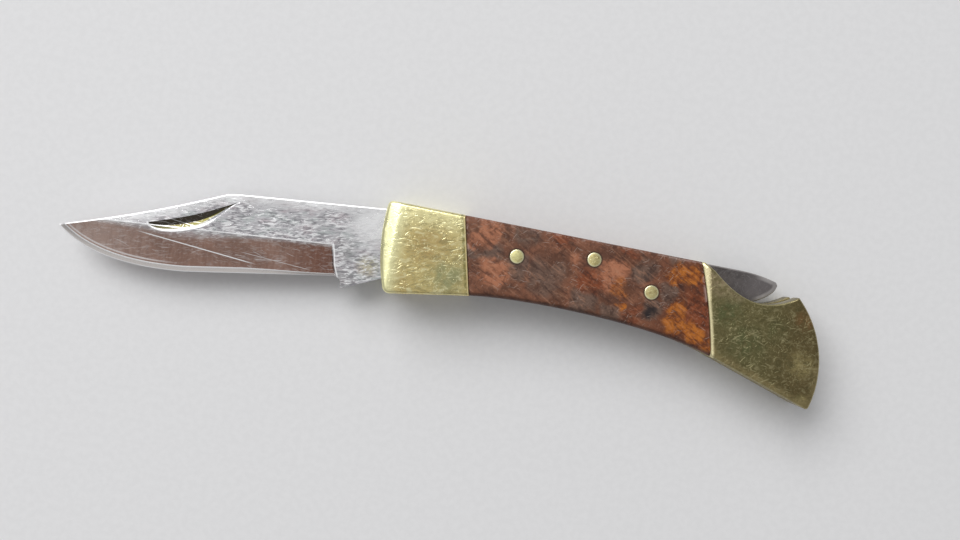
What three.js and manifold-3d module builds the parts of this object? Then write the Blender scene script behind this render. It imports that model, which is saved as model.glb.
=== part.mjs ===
// Folding pocket knife with a rocking lock bar in its back, lying open on its side.
// Millimetres. The origin is on the axis of the blade pivot, in the plane that the knife lies on.
// X runs along the spine from the pivot to the butt, Y towards the spine and Z up through the sides.

import * as THREE from 'three';
import { mergeVertices } from 'three/addons/utils/BufferGeometryUtils.js';
import Module from 'manifold-3d';

const wasm = await Module();
wasm.setup();

// Thickness, piece by piece
const bolsterThickness = 3;
const linerThickness = 0.9;
const bladeThickness = 2;
const sideClearance = 0.1;
const woodRecess = 0.3;

// Handle outline
const spineHeight = 9.35;
const noseReach = 7.77;
const noseRadius = 32;
const noseCrownHeight = 5.6;
const noseCornerRound = 0.9;
const pivotToBelly = 5.22;
const frontBellySlope = 0.165;
const frontArchPull = 9;
const rearArchPull = 10.65;
const rearBellyDepth = 5.9;
const buttDepth = 11.6;
const buttRadius = 18;
const buttCrownDepth = 6.5;
const buttCornerRound = 0.6;
const buttWall = 5.51;

// Seams between the bolsters and the wood, measured along the spine and along the belly
const frontBolsterAtSpine = 5.4;
const frontBolsterAtBelly = 8.6;
const rearBolsterAtSpine = 22.7;
const rearBolsterAtBelly = 18.3;
const rearSeamBulge = 0.7;
const seamGap = 0.3;

// Thumb notch in the rear bolster
const hornDepth = 2.78;
const notchLength = 14.9;
const notchStartDrop = 0.9;
const notchShoulder = 1.6;
const notchFall = 40;
const notchClimb = 34;
const notchFallReach = 7;
const notchClimbReach = 6.5;

// Rounded and sloping edges of the bolsters and the wood
const bolsterEdge = 0.6;
const woodEdge = 0.9;
const woodInset = 0.15;
const noseSlopeLength = 2.4;
const noseSlopeDrop = 0.8;

// Blade, in its own frame: the pivot is the origin and the tip is on its X axis
const tipReach = 62.94;
const bladeLean = 4.97;
const closingAngle = 171;
const backHeight = 8.66;
const backTaper = 0.011;
const clipLength = 27.75;
const clipStartDrop = 0.4;
const clipShoulder = 3;
const clipFall = 20;
const clipTipRise = 11.6;
const clipStartPull = 9.8;
const clipTipPull = 8.65;
const bellyLength = 22.4;
const tipRise = 44;
const tipPull = 5;
const bellyPull = 12;
const bellyDrop = 0.04;
const heelReach = 15.2;
const heelDepth = 3.72;
const edgeSlope = 0.081;
const choilRadius = 1.35;
const kickDepth = 5.66;
const kickTipWidth = 0.3;
const kickCornerDrop = 0.15;
const tangBottomSlope = 0.36;
const tangBottomEnd = 6.6;
const edgeWidth = 0.3;
const grindStartHeight = 1.55;
const grindEndDepth = 5.85;
const grindHollow = 0.18;
const plungeReach = 15.6;

// Nail nick, on the side of the blade that faces up
const nickTipFromTip = 15.3;
const nickTipHeight = 1.9;
const nickLength = 16.4;
const nickRise = 18.7;
const nickUpperBow = 0.45;
const nickLowerBow = 2.7;
const nickDepth = 0.5;

// Tang: the lock notch, the cam that passes the lock and the flat on which it lands
const camRadius = 5;
const notchDepth = 0.85;
const lockGap = 0.2;
const hookFront = 2.8;
const hookBack = 0.9;
const hookHeight = 1.2;

// Lock bar
const barPinX = 28;
const barPinDepth = 3.15;
const barEyeWall = 1;
const barEyeSpread = 40;
const kickGap = 0.45;
const kickRestLength = 4.5;
const barCornerCut = 0.3;
const barRearDepth = 4.45;
const tailGap = 8.58;
const tailDepth = 5.1;
const tailHeelLength = 2.5;
const tailHeelRamp = 3;
const tailRound = 4.3;
const tailRoundBow = 1.65;
const tailTipDepth = 1.35;
const tailTipRound = 0.35;
const tailDroop = 0.85;
const tailDroopLength = 6.9;

// Lock spring
const springThickness = 0.8;
const springReach = 14.25;
const springGap = 0.25;
const springSlope = 11;
const springRootDepth = 3.4;
const springSlotGap = 0.15;

// Butt spacer
const spacerLength = 9.2;
const spacerRecess = 0.6;
const spacerLipDepth = 0.35;
const tipClearance = 0.7;
const tipClearanceAngle = 1.2;
const pocketBow = 1.6;
const slotEndAtBelly = 2.3;

// Pins and rivets
const pivotPinRadius = 1.5;
const scalePinRadius = 1.2;
const bolsterRivetRadius = 0.8;
const buttPinRadius = 0.8;
const pinClearance = 0.05;
const pinDome = 0.12;

// Places of the pins: from the pivot, or from the butt, and down from the spine
const frontScalePinPlace = [15.2, 5.15];
const rearScalePinPlace = [38.4, 6.68];
const bolsterRivetPlaces = [[-3.8, 3.75], [4.6, 11.45]];
const buttPinPlaces = [[3.4, 10.35], [2.1, 16.75]];

// Facets
const roundSides = 32;
const curveSteps = 10;
const cornerSteps = 2;
const edgeSteps = 3;
const domeSteps = 3;
const weldDistance = 1e-4;
const beyond = 20;
const seamReach = 8;

// Heights of the layers
const lowerLinerZ = bolsterThickness;
const channelZ = lowerLinerZ + linerThickness;
const channelWidth = bladeThickness + 2 * sideClearance;
const upperLinerZ = channelZ + channelWidth;
const upperSideZ = upperLinerZ + linerThickness;
const handleThickness = upperSideZ + bolsterThickness;
const bladeZ = channelZ + sideClearance;
const bladeTopZ = bladeZ + bladeThickness;

const buttReach = tipReach + buttWall;
const radians = THREE.MathUtils.degToRad;
const degrees = THREE.MathUtils.radToDeg;

const steel = new THREE.MeshStandardMaterial({ color: 0xb9bcc0, metalness: 1, roughness: 0.28 });
const darkSteel = new THREE.MeshStandardMaterial({ color: 0x8c8f94, metalness: 1, roughness: 0.42 });
const brass = new THREE.MeshStandardMaterial({ color: 0xc9a24e, metalness: 1, roughness: 0.3 });
const oldBrass = new THREE.MeshStandardMaterial({ color: 0x8f7a45, metalness: 1, roughness: 0.42 });
const pinBrass = new THREE.MeshStandardMaterial({ color: 0xd9c28a, metalness: 1, roughness: 0.3 });
const burl = new THREE.MeshStandardMaterial({ color: 0x6e3320, metalness: 0, roughness: 0.45 });

function at(x, y) {
  return new THREE.Vector2(x, y);
}

// Points along a circle's arc, angles in degrees.
function arc(x, y, radius, first, last, steps) {
  const points = [];
  for (let i = 0; i <= steps; i++) {
    const angle = radians(first + ((last - first) * i) / steps);
    points.push(at(x + radius * Math.cos(angle), y + radius * Math.sin(angle)));
  }
  return points;
}

// A full circle, as an outline.
function circle(x, y, radius) {
  return arc(x, y, radius, 0, 360 - 360 / roundSides, roundSides - 1);
}

// A soft corner between two points, bending round a third.
function corner(start, middle, end, steps = cornerSteps) {
  return new THREE.QuadraticBezierCurve(start, middle, end).getPoints(steps);
}

// A curve between two points, pulled out at each end towards a point of its own.
function bend(start, pullStart, pullEnd, end, steps = curveSteps) {
  return new THREE.CubicBezierCurve(start, pullStart, pullEnd, end).getPoints(steps);
}

// A flat plate of an outline between two heights, with round holes.
function plate(outline, low, high, holes = []) {
  const shape = new THREE.Shape(outline);
  for (const hole of holes) {
    shape.holes.push(new THREE.Path(hole));
  }
  const geometry = new THREE.ExtrudeGeometry(shape, { depth: high - low, bevelEnabled: false });
  return geometry.translate(0, 0, low);
}

// A plate whose edges are rounded at both faces, drawn in by inset all round.
function softPlate(outline, low, high, edge, inset) {
  const geometry = new THREE.ExtrudeGeometry(new THREE.Shape(outline), {
    depth: high - low - 2 * edge,
    bevelThickness: edge,
    bevelSize: edge,
    bevelOffset: -edge - inset,
    bevelSegments: edgeSteps,
  });
  return geometry.translate(0, 0, low + edge);
}

function solidOf(geometry) {
  const bare = geometry.clone();
  bare.deleteAttribute('normal');
  bare.deleteAttribute('uv');
  const merged = mergeVertices(bare, weldDistance);
  return new wasm.Manifold(new wasm.Mesh({
    numProp: 3,
    vertProperties: merged.attributes.position.array,
    triVerts: new Uint32Array(merged.index.array),
  }));
}

function geometryOf(solid) {
  const mesh = solid.getMesh();
  const geometry = new THREE.BufferGeometry();
  geometry.setAttribute('position', new THREE.BufferAttribute(new Float32Array(mesh.vertProperties), 3));
  geometry.setIndex(new THREE.BufferAttribute(new Uint32Array(mesh.triVerts), 1));
  geometry.computeVertexNormals();
  return geometry;
}

function piece(name, geometry, material) {
  const mesh = new THREE.Mesh(geometry, material);
  mesh.name = name;
  return mesh;
}

// The point that lies a distance from another in a direction given in degrees.
function from(point, distance, direction) {
  const angle = radians(direction);
  return at(point.x + distance * Math.cos(angle), point.y + distance * Math.sin(angle));
}

// A point turned about the pivot.
function turned(point, angle) {
  return point.clone().rotateAround(at(0, 0), radians(angle));
}

// Curves of the handle's outline

function noseX(y) {
  return noseRadius - noseReach - Math.sqrt(noseRadius ** 2 - (y - noseCrownHeight) ** 2);
}

function noseAngle(y) {
  return 180 - degrees(Math.asin((y - noseCrownHeight) / noseRadius));
}

function buttX(y) {
  return buttReach - buttRadius + Math.sqrt(buttRadius ** 2 - (y + buttCrownDepth) ** 2);
}

function buttAngle(y) {
  return degrees(Math.asin((y + buttCrownDepth) / buttRadius));
}

function frontBellyY(x) {
  return frontBellySlope * x - pivotToBelly;
}

const bellyStart = at(frontBolsterAtBelly, frontBellyY(frontBolsterAtBelly));
const rearSeamBelly = at(buttReach - rearBolsterAtBelly, -rearBellyDepth);
const buttCorner = at(buttX(-buttDepth), -buttDepth);
const buttRun = buttCorner.clone().sub(rearSeamBelly).normalize();
const hornY = spineHeight - hornDepth;
const horn = at(buttX(hornY), hornY);
const notchStart = at(horn.x - notchLength, spineHeight - notchStartDrop);

// The thumb notch, from the horn to its start behind the wood.
function notchCurve() {
  const pullHorn = from(horn, notchClimbReach, 180 + notchClimb);
  const pullStart = from(notchStart, notchFallReach, -notchFall);
  return bend(horn, pullHorn, pullStart, notchStart);
}

// The arched belly between the two bolsters.
function bellyCurve() {
  const pullX = bellyStart.x + frontArchPull;
  const pullStart = at(pullX, frontBellyY(pullX));
  const pullEnd = rearSeamBelly.clone().addScaledVector(buttRun, -rearArchPull);
  return bend(bellyStart, pullStart, pullEnd, rearSeamBelly);
}

function buttCurve() {
  const before = buttCorner.clone().addScaledVector(buttRun, -buttCornerRound);
  const after = at(buttX(buttCornerRound - buttDepth), buttCornerRound - buttDepth);
  const back = arc(
    buttReach - buttRadius,
    -buttCrownDepth,
    buttRadius,
    buttAngle(after.y),
    buttAngle(horn.y),
    curveSteps,
  );
  return [...corner(before, buttCorner, after), ...back.slice(1)];
}

function noseCurve() {
  const high = at(noseX(spineHeight), spineHeight);
  const lowY = frontBellyY(-noseReach);
  const low = at(noseX(lowY), frontBellyY(noseX(lowY)));
  const highEnd = at(noseX(high.y - noseCornerRound), high.y - noseCornerRound);
  const lowStart = at(noseX(low.y + noseCornerRound), low.y + noseCornerRound);
  const lowEnd = at(low.x + noseCornerRound, frontBellyY(low.x + noseCornerRound));
  const front = arc(
    noseRadius - noseReach,
    noseCrownHeight,
    noseRadius,
    noseAngle(highEnd.y),
    noseAngle(lowStart.y),
    curveSteps / 2,
  );
  return [
    ...corner(at(high.x + noseCornerRound, high.y), high, highEnd),
    ...front.slice(1, -1),
    ...corner(lowStart, low, lowEnd),
  ];
}

function handleOutline() {
  return [
    ...bellyCurve(),
    ...buttCurve(),
    ...notchCurve().slice(1),
    at(notchStart.x - notchShoulder, spineHeight),
    ...noseCurve(),
  ];
}

// The same outline between the two bolsters, run on straight past the seams.
function woodOutline() {
  const belly = bellyCurve();
  const rear = rearSeamBelly.clone().addScaledVector(buttRun, seamReach);
  const front = at(-seamReach, frontBellyY(-seamReach));
  return [front, ...belly, rear, at(rear.x, spineHeight), at(front.x, spineHeight)];
}

// The seams run past the handle's edges, because they are only used to cut.

function frontSeam(shift) {
  const top = at(frontBolsterAtSpine + shift, spineHeight);
  const bottom = at(bellyStart.x + shift, bellyStart.y);
  const along = top.clone().sub(bottom);
  return [bottom.clone().addScaledVector(along, -1), top.clone().addScaledVector(along, 1)];
}

function rearSeam(shift) {
  const top = at(buttReach - rearBolsterAtSpine, spineHeight);
  const middle = top.clone().add(rearSeamBelly).multiplyScalar(0.5);
  const curve = corner(rearSeamBelly, at(middle.x + rearSeamBulge, middle.y), top, curveSteps);
  const points = [at(rearSeamBelly.x, -beyond), ...curve, at(top.x, beyond)];
  return points.map((point) => at(point.x + shift, point.y));
}

function cutter(outline) {
  return solidOf(plate(outline, -beyond, handleThickness + beyond));
}

function drilled(solid, centres, radius) {
  const drills = centres.map(([x, y]) => cutter(circle(x, y, radius + pinClearance)));
  return drills.reduce((left, drill) => left.subtract(drill), solid);
}

function belowSpine([x, depth]) {
  return [x, spineHeight - depth];
}

const lockBarPin = belowSpine([barPinX, barPinDepth]);
const frontScalePin = belowSpine(frontScalePinPlace);
const rearScalePin = belowSpine(rearScalePinPlace);
const scalePins = [frontScalePin, lockBarPin, rearScalePin];
const bolsterRivets = bolsterRivetPlaces.map(belowSpine);
const buttPins = buttPinPlaces.map(([fromButt, depth]) => belowSpine([buttReach - fromButt, depth]));

// Upper side of the handle. The lower side is its mirror image.

function linerGeometry() {
  const holes = [
    circle(0, 0, pivotPinRadius + pinClearance),
    ...scalePins.map(([x, y]) => circle(x, y, scalePinRadius + pinClearance)),
    ...bolsterRivets.map(([x, y]) => circle(x, y, bolsterRivetRadius + pinClearance)),
    ...buttPins.map(([x, y]) => circle(x, y, buttPinRadius + pinClearance)),
  ];
  return plate(handleOutline(), upperLinerZ, upperSideZ, holes);
}

// A slab on the liner whose outer edges are soft. It is made thicker and cut level with the liner.
function sideSlab(outline, top, edge, inset) {
  const slab = solidOf(softPlate(outline, upperSideZ - beyond, top, edge, inset));
  return slab.intersect(solidOf(plate(handleBox(), upperSideZ, upperSideZ + beyond)));
}

function handleBox() {
  const low = -beyond;
  const high = buttReach + beyond;
  return [at(low, low), at(high, low), at(high, beyond), at(low, beyond)];
}

// The slope that thins the front bolster towards the blade.
function noseSlopeCutter() {
  const shape = new THREE.Shape([
    at(-noseReach - noseSlopeLength, handleThickness - 2 * noseSlopeDrop),
    at(-noseReach + noseSlopeLength, handleThickness),
    at(-noseReach + noseSlopeLength, handleThickness + beyond),
    at(-noseReach - noseSlopeLength, handleThickness + beyond),
  ]);
  const wedge = new THREE.ExtrudeGeometry(shape, { depth: 2 * beyond, bevelEnabled: false });
  return solidOf(wedge.rotateX(Math.PI / 2).translate(0, beyond, 0));
}

function frontBolsterGeometry() {
  const [low, high] = frontSeam(0);
  const front = cutter([at(-beyond, low.y), low, high, at(-beyond, high.y)]);
  const slab = sideSlab(handleOutline(), handleThickness, bolsterEdge, 0);
  const shaped = slab.intersect(front).subtract(noseSlopeCutter());
  return geometryOf(drilled(drilled(shaped, [[0, 0]], pivotPinRadius), bolsterRivets, bolsterRivetRadius));
}

function rearBolsterGeometry() {
  const seam = rearSeam(0);
  const farX = buttReach + beyond;
  const rear = cutter([...seam.slice().reverse(), at(farX, -beyond), at(farX, beyond)]);
  const slab = sideSlab(handleOutline(), handleThickness, bolsterEdge, 0);
  return geometryOf(drilled(slab.intersect(rear), buttPins, buttPinRadius));
}

function scaleGeometry() {
  const [low, high] = frontSeam(seamGap);
  const middle = cutter([low, ...rearSeam(-seamGap), high]);
  const slab = sideSlab(woodOutline(), handleThickness - woodRecess, woodEdge, woodInset);
  return geometryOf(drilled(slab.intersect(middle), scalePins, scalePinRadius));
}

function straightPin(x, y, radius, low, high) {
  return plate(circle(x, y, radius), low, high);
}

// A head that is spun into a low dome above a height, as the end of a lathe profile.
function domeProfile(z) {
  const radius = (scalePinRadius ** 2 + pinDome ** 2) / (2 * pinDome);
  const rim = degrees(Math.acos(scalePinRadius / radius));
  return [...arc(0, z + pinDome - radius, radius, rim, 90, domeSteps).slice(0, -1), at(0, z + pinDome)];
}

function turnedPin([x, y], profile) {
  return new THREE.LatheGeometry(profile, roundSides).rotateX(Math.PI / 2).translate(x, y, 0);
}

// A short pin with one domed head, which stops short of the blade.
function scalePinGeometry(centre) {
  const foot = upperLinerZ + pinClearance;
  const head = domeProfile(handleThickness - woodRecess);
  return turnedPin(centre, [at(0, foot), at(scalePinRadius, foot), ...head]);
}

// The pin of the lock bar goes through both scales and is domed at each end.
function lockBarPinGeometry() {
  const head = domeProfile(handleThickness - woodRecess);
  const foot = head.map((point) => at(point.x, handleThickness - point.y)).reverse();
  return turnedPin(lockBarPin, [...foot, ...head]);
}

function side(word) {
  const group = new THREE.Group();
  group.add(piece(`liner_${word}`, linerGeometry(), brass));
  group.add(piece(`front_bolster_${word}`, frontBolsterGeometry(), brass));
  group.add(piece(`rear_bolster_${word}`, rearBolsterGeometry(), oldBrass));
  group.add(piece(`scale_${word}`, scaleGeometry(), burl));
  group.add(piece(`front_scale_pin_${word}`, scalePinGeometry(frontScalePin), pinBrass));
  group.add(piece(`rear_scale_pin_${word}`, scalePinGeometry(rearScalePin), pinBrass));
  bolsterRivets.forEach(([x, y], i) => {
    const rivet = straightPin(x, y, bolsterRivetRadius, upperLinerZ + pinClearance, handleThickness);
    group.add(piece(`bolster_rivet_${i + 1}_${word}`, rivet, brass));
  });
  return group;
}

// Blade

function backY(x) {
  return backHeight + backTaper * x;
}

function edgeY(x) {
  return edgeSlope * (x + heelReach) - heelDepth;
}

const kickFrontX = choilRadius - heelReach;
const kickTip = at(kickFrontX + kickTipWidth, -kickDepth);

function tangBottomY(x) {
  return kickTip.y + tangBottomSlope * (x - kickTip.x);
}

// The front wall of the lock notch stands square to the spine of the open knife and ends at the blade's back.
function notchWallTop(x) {
  const sine = Math.sin(radians(bladeLean));
  const cosine = Math.cos(radians(bladeLean));
  return (backHeight + x * (sine + backTaper * cosine)) / (cosine - backTaper * sine);
}

function tangOutline() {
  const seatHeight = camRadius - notchDepth;
  const landing = 90 - closingAngle - bladeLean;
  const landingHalf = degrees(Math.acos(seatHeight / camRadius));
  const wallX = hookBack + lockGap;
  const wallAngle = degrees(Math.acos(wallX / camRadius)) - bladeLean;
  const frontX = -hookFront - lockGap;
  const inBlade = (x, y) => turned(at(x, y), -bladeLean);
  return [
    at(-tangBottomEnd, tangBottomY(-tangBottomEnd)),
    from(at(0, 0), camRadius, landing - landingHalf),
    ...arc(0, 0, camRadius, landing + landingHalf, wallAngle, curveSteps),
    inBlade(wallX, seatHeight),
    inBlade(frontX, seatHeight),
    inBlade(frontX, notchWallTop(frontX)),
  ];
}

function bladeOutline() {
  const tip = at(-tipReach, 0);
  const clipX = clipLength - tipReach;
  const clipStart = at(clipX, backY(clipX) - clipStartDrop);
  const shoulderX = clipX + clipShoulder;
  const straightX = bellyLength - tipReach;
  const straightStart = at(straightX, edgeY(straightX));
  const bellyPullPoint = at(straightX - bellyPull, straightStart.y - bellyPull * bellyDrop);
  const clipStartPullPoint = from(clipStart, clipStartPull, 180 + clipFall);
  const clipTipPullPoint = from(tip, clipTipPull, clipTipRise);
  return [
    ...bend(tip, from(tip, tipPull, -tipRise), bellyPullPoint, straightStart).slice(1),
    ...arc(-heelReach, edgeY(-heelReach) - choilRadius, choilRadius, 90, 0, curveSteps / 2),
    at(kickFrontX, kickTip.y + kickCornerDrop),
    kickTip,
    ...tangOutline(),
    at(shoulderX, backY(shoulderX)),
    ...bend(clipStart, clipStartPullPoint, clipTipPullPoint, tip),
  ];
}

// What the hollow grind takes from the upper side: it reaches from the grind line past the edge.
function grindCutter() {
  const half = bladeThickness / 2;
  const edgeHalf = edgeWidth / 2;
  const run = grindStartHeight + grindEndDepth;
  const points = [];
  for (let i = 0; i <= curveSteps / 2; i++) {
    const t = i / (curveSteps / 2);
    const chord = half + (edgeHalf - half) * t;
    points.push(at(grindStartHeight - run * t, chord - 4 * grindHollow * t * (1 - t)));
  }
  points.push(at(-beyond, edgeHalf), at(-beyond, bladeThickness), at(grindStartHeight, bladeThickness));
  const length = tipReach + beyond - plungeReach;
  const geometry = new THREE.ExtrudeGeometry(new THREE.Shape(points), { depth: length, bevelEnabled: false });
  const acrossBlade = new THREE.Vector3(0, 1, 0);
  const throughBlade = new THREE.Vector3(0, 0, 1);
  const alongBlade = new THREE.Vector3(1, 0, 0);
  geometry.applyMatrix4(new THREE.Matrix4().makeBasis(acrossBlade, throughBlade, alongBlade));
  return solidOf(geometry.translate(-plungeReach - length, 0, 0));
}

// The nail nick is deepest at its upper edge and runs out at its lower edge.
function nickCutter() {
  const start = at(0, 0);
  const end = at(nickLength, 0);
  const upper = corner(end, at(nickLength / 2, -2 * nickUpperBow), start, curveSteps);
  const lower = corner(start, at(nickLength / 2, -2 * nickLowerBow), end, curveSteps);
  const geometry = plate([...lower, ...upper.slice(1, -1)], 0, bladeThickness);
  geometry.rotateX(-Math.atan(nickDepth / nickLowerBow));
  geometry.translate(0, 0, bladeThickness / 2 - nickDepth);
  geometry.rotateZ(radians(nickRise));
  return solidOf(geometry.translate(nickTipFromTip - tipReach, nickTipHeight, 0));
}

function bladeGeometry() {
  const half = bladeThickness / 2;
  const hole = circle(0, 0, pivotPinRadius + pinClearance);
  const upperGrind = grindCutter();
  const lowerGrind = upperGrind.mirror([0, 0, 1]);
  const blank = solidOf(plate(bladeOutline(), -half, half, [hole]));
  return geometryOf(blank.subtract(upperGrind).subtract(lowerGrind).subtract(nickCutter()));
}

function blade() {
  const group = new THREE.Group();
  group.rotation.z = radians(bladeLean);
  group.position.z = bladeZ + bladeThickness / 2;
  group.add(piece('blade', bladeGeometry(), steel));
  return group;
}

// Where a point of the blade lies when the knife is closed.
function whenClosed(point) {
  return turned(point, bladeLean + closingAngle);
}

// Lock bar

function barOutline() {
  const hookBottom = camRadius + lockGap;
  const kick = whenClosed(kickTip);
  const restY = kick.y + kickGap;
  const eye = scalePinRadius + barEyeWall;
  const tip = at(buttReach - tailGap, spineHeight - tailTipDepth);
  const heel = at(tip.x - tailRound, spineHeight - tailDepth);
  const heelFrontX = heel.x - tailHeelLength;
  const tipTop = at(tip.x - tailTipRound, spineHeight - tailDroop);
  const droopStart = at(tip.x - tailDroopLength, spineHeight);
  const droopBend = at((tipTop.x + droopStart.x) / 2 + tailTipRound, spineHeight);
  return [
    at(-hookFront, hookBottom),
    at(hookBack, hookBottom),
    at(hookBack, hookBottom + hookHeight),
    at(kick.x - kickRestLength, hookBottom + hookHeight),
    at(kick.x - kickRestLength / 2, restY),
    at(kick.x + kickRestLength / 2, restY),
    ...arc(barPinX, lockBarPin[1], eye, -90 - barEyeSpread, barEyeSpread - 90, curveSteps / 2),
    at(barPinX + 2 * eye, spineHeight - barRearDepth),
    at(heelFrontX - tailHeelRamp, spineHeight - barRearDepth),
    at(heelFrontX, heel.y),
    ...corner(heel, at(tip.x - barCornerCut, heel.y + tailRoundBow), tip, curveSteps),
    ...corner(tipTop, droopBend, droopStart, curveSteps / 2),
    at(barCornerCut - hookFront, spineHeight),
    at(-hookFront, spineHeight - barCornerCut),
  ];
}

function lockBarGeometry() {
  const hole = circle(...lockBarPin, scalePinRadius + pinClearance);
  return plate(barOutline(), bladeZ, bladeTopZ, [hole]);
}

// Lock spring: a straight leaf from its slot in the spacer up to the underside of the bar.

const spacerFrontX = buttReach - spacerLength;
const springTip = at(spacerFrontX - springReach, spineHeight - barRearDepth - springGap);
const springLength = (springReach + springRootDepth) / Math.cos(radians(springSlope));

function springOutline(grow) {
  const tipTop = from(from(springTip, grow, 180 - springSlope), grow, 90 - springSlope);
  const rootTop = from(tipTop, springLength + 2 * grow, -springSlope);
  const depth = springThickness + 2 * grow;
  return [from(tipTop, depth, -90 - springSlope), from(rootTop, depth, -90 - springSlope), rootTop, tipTop];
}

function springGeometry() {
  return plate(springOutline(0), bladeZ, bladeTopZ);
}

// Butt spacer: it fills the butt behind the tip of the closed blade and holds the root of the spring.

function spacerRegion() {
  const tip = whenClosed(at(-tipReach - tipClearance, 0));
  const pocketTop = turned(tip, tipClearanceAngle);
  const lip = at(spacerFrontX, -spacerLipDepth);
  const slotEnd = at(buttCorner.x - slotEndAtBelly, -buttDepth);
  const farX = buttReach + beyond;
  return [
    at(slotEnd.x, -beyond),
    at(farX, -beyond),
    at(farX, beyond),
    at(spacerFrontX, beyond),
    ...corner(lip, at(pocketTop.x - pocketBow, pocketTop.y + pocketBow), pocketTop, curveSteps / 2),
    slotEnd,
  ];
}

// What lies above the thumb notch, let down into the spacer.
function spacerNotch() {
  const rim = notchCurve().map((point) => at(point.x, point.y - spacerRecess));
  const outside = from(rim[0], spacerLength, notchClimb);
  return cutter([outside, at(outside.x, beyond), at(notchStart.x, beyond), ...rim.slice().reverse()]);
}

function spacerGeometry() {
  const whole = solidOf(plate(handleOutline(), channelZ, upperLinerZ));
  const shaped = whole.intersect(cutter(spacerRegion())).subtract(spacerNotch());
  return geometryOf(drilled(shaped.subtract(cutter(springOutline(springSlotGap))), buttPins, buttPinRadius));
}

const knife = new THREE.Group();

const lowerSide = side('lower');
lowerSide.scale.z = -1;
lowerSide.position.z = handleThickness;
knife.add(side('upper'), lowerSide);

knife.add(blade());
knife.add(piece('blade_pivot_pin', straightPin(0, 0, pivotPinRadius, 0, handleThickness), brass));
knife.add(piece('lock_bar', lockBarGeometry(), darkSteel));
knife.add(piece('lock_bar_pin', lockBarPinGeometry(), pinBrass));
knife.add(piece('lock_spring', springGeometry(), darkSteel));
knife.add(piece('butt_spacer', spacerGeometry(), oldBrass));
buttPins.forEach(([x, y], i) => {
  knife.add(piece(`butt_pin_${i + 1}`, straightPin(x, y, buttPinRadius, 0, handleThickness), oldBrass));
});

export default knife;
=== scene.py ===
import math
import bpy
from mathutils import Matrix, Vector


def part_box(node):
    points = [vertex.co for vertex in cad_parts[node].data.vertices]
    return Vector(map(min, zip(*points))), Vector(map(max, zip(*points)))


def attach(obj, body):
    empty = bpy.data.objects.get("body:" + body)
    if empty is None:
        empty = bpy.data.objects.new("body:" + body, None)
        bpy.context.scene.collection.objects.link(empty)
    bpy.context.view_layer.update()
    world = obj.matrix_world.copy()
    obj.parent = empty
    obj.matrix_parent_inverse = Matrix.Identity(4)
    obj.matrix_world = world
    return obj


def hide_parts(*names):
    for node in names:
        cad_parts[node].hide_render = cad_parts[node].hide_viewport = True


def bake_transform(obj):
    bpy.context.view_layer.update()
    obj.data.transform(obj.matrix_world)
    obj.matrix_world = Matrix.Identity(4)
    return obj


bl_info = {
    "name": "Folding Pocket Knife",
    "version": (1, 0, 0),
    "blender": (4, 5, 0),
    "location": "View3D > Sidebar > Knife",
    "description": "A small folding knife with brass bolsters, burl wood scales and a lock in its back",
    "category": "Mesh",
}

import bpy
import numpy as np
from mathutils import Vector
from mathutils.geometry import delaunay_2d_cdt

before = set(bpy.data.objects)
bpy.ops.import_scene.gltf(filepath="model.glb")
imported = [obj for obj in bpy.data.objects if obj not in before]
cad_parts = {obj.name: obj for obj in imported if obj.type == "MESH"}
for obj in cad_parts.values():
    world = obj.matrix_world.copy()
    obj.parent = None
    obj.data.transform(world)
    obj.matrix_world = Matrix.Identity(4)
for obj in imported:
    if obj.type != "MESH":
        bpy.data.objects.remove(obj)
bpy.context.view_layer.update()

MM = 0.001
CURVE_STEPS = 40
# Faces that meet at more degrees than this have a sharp edge between them
SHARP_ANGLE = 40
# Points nearer than this, in millimetres, are one point in a net of triangles
NET_TOLERANCE = 1e-5
# How far a crease stays inside its outline
CLIP_GAP = 0.04 * MM
# Points whose distances are worked out at once
CHUNK = 4000
FAR = 1.0
TINY = 1e-9
# Room between a pin and the steel that turns on it
BORE_PLAY = 0.04 * MM
# Radius of a bolster's or a scale's edge along the seam, as a share of the seam's edge
SEAM_SHARE = 0.4

# Curves in the plane of the knife


def point(x, y):
    return np.array([x, y], float)


def towards(start, reach, angle):
    return start + reach * point(math.cos(angle), math.sin(angle))


def turned(points, angle):
    c, s = math.cos(angle), math.sin(angle)
    return np.asarray(points) @ np.array([[c, s], [-s, c]])


def corner(start, middle, end, steps=8):
    """A soft corner between two points, bending round a third."""
    t = np.linspace(0, 1, steps + 1)[:, None]
    return (1 - t) ** 2 * start + 2 * t * (1 - t) * middle + t**2 * end


def bend(start, pull_start, pull_end, end, steps=CURVE_STEPS):
    """A curve that leaves each end towards a point of its own."""
    t = np.linspace(0, 1, steps + 1)[:, None]
    outer = (1 - t) ** 3 * start + t**3 * end
    return outer + 3 * t * (1 - t) ** 2 * pull_start + 3 * t**2 * (1 - t) * pull_end


def arc(centre, radius, first, last, steps):
    angle = np.linspace(first, last, steps + 1)
    return centre + radius * np.stack([np.cos(angle), np.sin(angle)], 1)


def circle(centre, radius, steps=64):
    return arc(centre, radius, 0, 2 * math.pi, steps)[:-1]


def resampled(points, spacing):
    """The same line with points added between its own, about a spacing apart."""
    out = [points[0]]
    for start, end in zip(points[:-1], points[1:]):
        count = max(1, round(np.linalg.norm(end - start) / spacing))
        for i in range(1, count + 1):
            out.append(start + (end - start) * i / count)
    return np.array(out)


def joined(chains):
    """One closed outline from chains that meet end to end."""
    points = np.concatenate([chain[:-1] for chain in chains])
    step = np.linalg.norm(points - np.roll(points, 1, axis=0), axis=1)
    return points[step > NET_TOLERANCE * MM * 10]


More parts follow.
